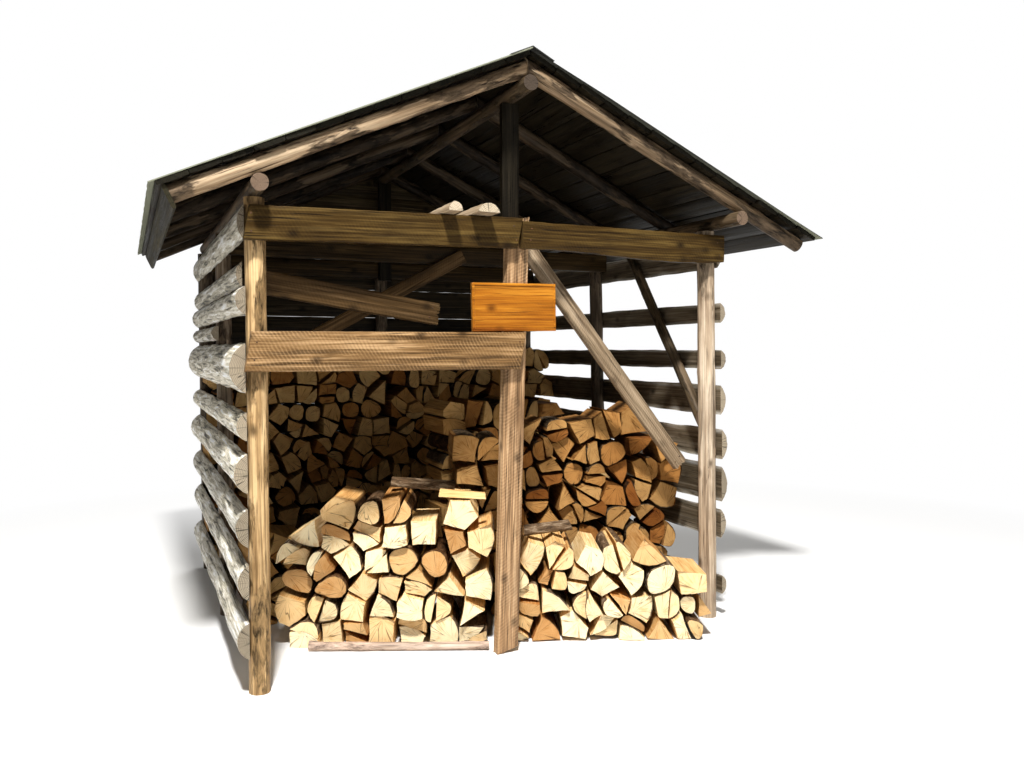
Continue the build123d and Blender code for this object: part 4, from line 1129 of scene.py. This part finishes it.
def halves(outline, rng):
    """A convex outline cleft in two, as lists of corners that start and end on the cleft."""
    offset = (rng.uniform(-CLEFT_OFFSET, CLEFT_OFFSET), rng.uniform(-CLEFT_OFFSET, CLEFT_OFFSET))
    middle = np.mean(outline, axis=0) + offset
    turn = rng.uniform(0, math.pi)
    normal = np.array([math.cos(turn), math.sin(turn)])
    parts = []
    for facing in (normal, -normal):
        kept = []
        for here, after in zip(outline, outline[1:] + outline[:1]):
            height = (here - middle) @ facing - CLEFT / 2
            next_height = (after - middle) @ facing - CLEFT / 2
            if height >= 0:
                kept.append((here, False))
            if height * next_height < 0:
                kept.append((here + (after - here) * height / (height - next_height), True))
        first = next(place for place, (_, cut) in enumerate(kept) if cut and not kept[place - 1][1])
        if kept[(first + 1) % len(kept)][1]:
            first = (first + 1) % len(kept)
        parts.append([corner for corner, _ in kept[first:] + kept[:first]])
    return parts


def rounded(corners, sharp=(), rounds=2):
    """Corners cut again and again, but for the sharp ones; gives points and whether they are round."""
    row = [(corner, place in sharp) for place, corner in enumerate(corners)]
    for _ in range(rounds):
        cut = []
        for place, (here, keep) in enumerate(row):
            if keep:
                cut.append((here, True))
                continue
            for other, _ in (row[place - 1], row[(place + 1) % len(row)]):
                cut.append((here * CORNER_KEPT + other * (1 - CORNER_KEPT), False))
        row = cut
    return [here for here, _ in row], [0.0 if keep else 1.0 for _, keep in row]


def log_outline(outline, rng, cleft, all_bark):
    """Outline of a log's end, and how much of it is bark: a branch, a half, or a wedge."""
    if all_bark and not cleft:
        return rounded(outline)
    if cleft and rng.random() < SMOOTH_HALVES:
        return rounded(outline, {0, len(outline) - 1})
    kind = rng.random()
    if kind < ROUND_SHARE:
        return rounded(outline)
    outline = fewer_corners(outline, rng.choice(LOG_CORNERS))
    lengths = [np.linalg.norm(corner - outline[place - 1]) for place, corner in enumerate(outline)]
    longest = int(np.argmax(lengths))
    points = []
    bark = []
    for side, corner in enumerate(outline):
        covered = side == longest and kind < BARK_SHARE
        bulge = rng.uniform(*(BARK_BULGE if covered else SPLIT_BULGE))
        points.extend(bulged(outline[side - 1], corner, bulge, LOG_EDGE_STEPS))
        bark.extend([0.0] + [1.0 if covered else 0.0] * (LOG_EDGE_STEPS - 1))
    return points, bark


def make_log(shape, origin, axes, outline, length, rng, cleft, all_bark):
    """One split log that fills a convex outline."""
    middle = np.mean(outline, axis=0)
    shrink = rng.uniform(*LOG_SHRINK)
    turn = math.radians(rng.uniform(-LOG_TURN, LOG_TURN))
    turned = shrink * np.array([[math.cos(turn), -math.sin(turn)], [math.sin(turn), math.cos(turn)]])
    outline = [middle + turned @ (corner - middle) for corner in outline]
    points, bark = log_outline(outline, rng, cleft, all_bark)
    points = np.array(points)
    if all_bark:
        bark = [1.0] * len(points)
    recess = min(abs(rng.gauss(0, LOG_RECESS)), LOG_RECESS_MOST)
    steps = recess + np.array(LOG_RINGS) * (length - recess)
    lean = np.array([rng.uniform(-most, most) for most in LOG_LEAN])
    dents = np.array([[rng.uniform(-LOG_DENT, LOG_DENT) for _ in range(2)] for _ in range(len(points))])
    rings = []
    for share in LOG_RINGS:
        fill = LOG_FILL - LOG_FILL_SPREAD * rng.random() - (LOG_END_FILL if share in (0.0, 1.0) else 0.0)
        fade = math.cos(share * rng.uniform(*LOG_FADE))
        rings.append(middle + (points - middle) * fill + lean * (share - 0.5) + dents * fade)
    pith = points[rng.randrange(len(points))] * PITH_OFF + middle * (1 - PITH_OFF)
    sweep(shape, origin, axes, steps, np.stack(rings), rng, rng.random(), bark=bark, pith=tuple(pith),
          rim=LOG_RIM, tilt=END_TILT)


def make_rank(node, material, seed, cleft_share, barky=()):
    """All the split logs of one CAD rank."""
    rng = random.Random(seed)
    shape = Shape()
    solids = sorted(solids_of(node), key=lambda solid: solid.points[:, 0].mean())
    for index, solid in enumerate(solids):
        along = solid.long_axis()
        side = unit(np.cross(along, (0, 0, 1)))
        up = np.cross(side, along)
        reach = solid.points @ along
        centre = solid.points.mean(axis=0)
        centre = centre - along * (centre @ along - reach.min())
        length = np.ptp(reach) - LOG_SPARE
        flat = hull(zip(solid.reach(centre, side), solid.reach(centre, up)))
        cleft = rng.random() < cleft_share
        all_bark = index in barky or rng.random() < ALL_BARK_SHARE
        for outline in halves(flat, rng) if cleft else [flat]:
            make_log(shape, centre, (along, side, up), outline, length, rng, cleft, all_bark)
    shape.build(f"{node}_logs", MATERIALS[material], "split_log", node)


def make_nail(shape, spot, facing, axis, across, rng):
    """One nail head: two straight rings, an eased one and a middle point."""
    turns = (np.arange(NAIL_SIDES) * 2 * math.pi / NAIL_SIDES)[:, None]
    circle = np.cos(turns) * axis + np.sin(turns) * across
    rings = [spot + facing * height + NAIL_RADIUS * size * circle for size, height in NAIL_PROFILE]
    points = np.concatenate(rings + [(spot + facing * NAIL_TOP)[None]])
    faces = [corners[::-1] for corners in ring_faces(len(rings), NAIL_SIDES)]
    last = NAIL_SIDES * (len(rings) - 1)
    for side in range(NAIL_SIDES):
        faces.append((last + (side + 1) % NAIL_SIDES, last + side, last + NAIL_SIDES))
    faces.append(tuple(range(NAIL_SIDES)))
    shape.add(points, faces, points.copy(), np.tile((0.0, 0.0, rng.random()), (len(points), 1)))


def make_nails():
    """Nail heads, slightly proud of the boards, in pairs near the ends of what they hold."""
    rng = random.Random(NAIL_SEED)
    shape = Shape()
    for node in NAILED_BOARDS:
        solid = solids_of(node)[0]
        axis, across, facing = solid.flat_axes((0, -1, 0))
        middle = solid.points.mean(axis=0)
        reach = solid.reach(middle, axis)
        face = solid.reach(middle, facing).max()
        ends = np.array((reach.min() + NAIL_INSET, reach.max() - NAIL_INSET))
        for place, low, high in zip(ends, *slice_limits(solid, middle, axis, across, ends)):
            for share in NAIL_SHARES:
                spot = middle + facing * face + axis * (place + rng.uniform(-NAIL_STRAY, NAIL_STRAY))
                share += rng.uniform(-NAIL_STRAY_SHARE, NAIL_STRAY_SHARE)
                spot = spot + across * (low + (high - low) * share)
                make_nail(shape, spot, facing, axis, across, rng)
    shape.build("nail_heads", MATERIALS["iron"], None)


def replace_with(maker, names, material, slot, seed, **settings):
    """Dress CAD nodes one by one with a maker of poles, planks or slabs."""
    for index, name in enumerate(names):
        rng = random.Random(seed * 100 + index)
        shape = Shape()
        for solid in solids_of(name):
            maker(shape, solid, rng, **settings)
        shape.build(f"{name}_look", MATERIALS[material], slot, name)


def make_stage():
    """Plain pale floor, soft lamps and a pale world."""
    mesh = bpy.data.meshes.new("floor")
    corners = [(x * FLOOR_REACH, y * FLOOR_REACH, 0) for x, y in ((-1, -1), (1, -1), (1, 1), (-1, 1))]
    mesh.from_pydata(corners, [], [(0, 1, 2, 3)])
    floor = add_object("floor", mesh)
    ink = Ink("floor")
    ink.shader.inputs["Base Color"].default_value = (*FLOOR_COLOUR, 1)
    ink.shader.inputs["Roughness"].default_value = FLOOR_ROUGHNESS
    place = ink.node("ShaderNodeNewGeometry").outputs["Position"]
    far = ink.span(ink.length(place), *FLOOR_FADE)
    seen = ink.node("ShaderNodeLightPath").outputs["Is Camera Ray"]
    white = ink.node("ShaderNodeEmission", {"Color": (1, 1, 1), "Strength": WORLD_SEEN})
    inputs = {0: ink.times(far, seen), 1: ink.shader.outputs[0], 2: white.outputs[0]}
    both = ink.node("ShaderNodeMixShader", inputs)
    ink.tree.links.new(both.outputs[0], ink.tree.nodes["Material Output"].inputs["Surface"])
    mesh.materials.append(ink.material)

    world = bpy.data.worlds.new("world")
    bpy.context.scene.world = world
    world.use_nodes = True
    tree = world.node_tree
    background = tree.nodes["Background"]
    path = tree.nodes.new("ShaderNodeLightPath")
    strength = tree.nodes.new("ShaderNodeMapRange")
    strength.inputs["To Min"].default_value = WORLD_LIGHT
    strength.inputs["To Max"].default_value = WORLD_SEEN
    tree.links.new(path.outputs["Is Camera Ray"], strength.inputs["Value"])
    tree.links.new(strength.outputs[0], background.inputs["Strength"])
    background.inputs["Color"].default_value = (1.0, 1.0, 1.0, 1)

    for name, place, size, power, target in LAMPS:
        data = bpy.data.lights.new(name, "AREA")
        data.shape = "DISK"
        data.size = size
        data.energy = power
        lamp = add_object(name, data)
        lamp.location = place
        aim = Vector(target) - Vector(place)
        lamp.rotation_euler = aim.to_track_quat("-Z", "Y").to_euler()


def make_camera():
    """Camera at the photograph's place and angle."""
    data = bpy.data.cameras.new("camera")
    data.sensor_width = SENSOR_WIDTH
    data.lens = FOCAL_PIXELS / IMAGE_WIDTH * SENSOR_WIDTH
    camera = add_object("camera", data)
    camera.location = CAMERA_PLACE
    camera.rotation_euler = (math.radians(90 - CAMERA_PITCH), 0, math.radians(-CAMERA_YAW))
    bpy.context.scene.camera = camera


# Maker, nodes, material, slot, seed and the maker's settings
PIECES = (
    (make_pole, ["front_left_post"], "post_warm", "peeled_post", 1, {}),
    (make_pole, ["front_right_post"], "post_grey", "peeled_post", 2, {}),
    (make_pole, ["middle_left_post", "middle_right_post", "back_left_post", "back_center_post",
                 "back_right_post"], "post_dark", "peeled_post", 3, {}),
    (make_pole, ["left_plate_pole", "right_plate_pole", "right_wall_brace"], "plate", "plate_pole", 4,
     {}),
    (make_pole, ["ridge_pole"], "ridge", "plate_pole", 20, {}),
    (make_pole, ["base_pole"], "base_pole", "base_pole", 17, {"knots": 8}),
    (make_plank, ["front_center_post"], "plank_post", "plank_post", 6, {}),
    # The king posts take the roof-board colours, as painted shade.
    (make_plank, ["front_king_post", "back_king_post"], "roof_board", "plank_post", 18, {}),
    (make_plank, ["front_left_tie", "front_right_tie"], "tie", "tie_plank", 7, {"wobble": 0.005}),
    (make_plank, ["middle_tie", "back_tie"], "inner", "inner_timber", 8, {}),
    (make_plank, ["inner_brace"], "loose", "inner_timber", 19, {}),
    (make_plank, ["loose_board"], "loose", "inner_timber", 21, {"torn": SPLINTERS, "across_count": 20}),
    (make_plank, ["lower_front_board"], "front_board", "front_board", 9, {}),
    (make_plank, ["front_brace"], "brace", "brace_plank", 10, {"torn": -SPLINTERS, "across_count": 16}),
    (make_plank, ["left_roof_boards", "right_roof_boards"], "roof_board", "roof_board", 11,
     {"step": 0.12, "across_count": 4}),
    (make_plank, ["back_wall_boards", "back_gable_boards"], "wall_board", "wall_board", 12,
     {"step": 0.06, "across_count": 6, "grow": 0.0025}),
    (make_plank, ["left_eave_board"], "eave_board", "eave_board", 16, {}),
    (make_sheet, ["left_roof_sheet", "right_roof_sheet"], "roofing", "roof_sheet", 13, {}),
    (make_slab, ["left_wall_slabs", "right_wall_slabs"], "slab", "slab_wood", 14, {}),
    (make_slab, ["loft_slabs"], "brace", "brace_plank", 15, {}),
)
for maker, names, material, slot, seed, settings in PIECES:
    replace_with(maker, names, material, slot, seed, **settings)
make_rafters("left_rafters", 50, 1.0)
make_rafters("right_rafters", 51, 0.6)
make_sign("sign_board")
make_nails()
make_cap("ridge_cap")
for index, (node, material, cleft_share) in enumerate(RANKS):
    barky = BARKY_SPLITS if node == "loose_splits" else ()
    make_rank(node, material, RANK_SEED + index, cleft_share, barky)

make_stage()
make_camera()
bpy.context.scene.view_settings.view_transform = "Standard"
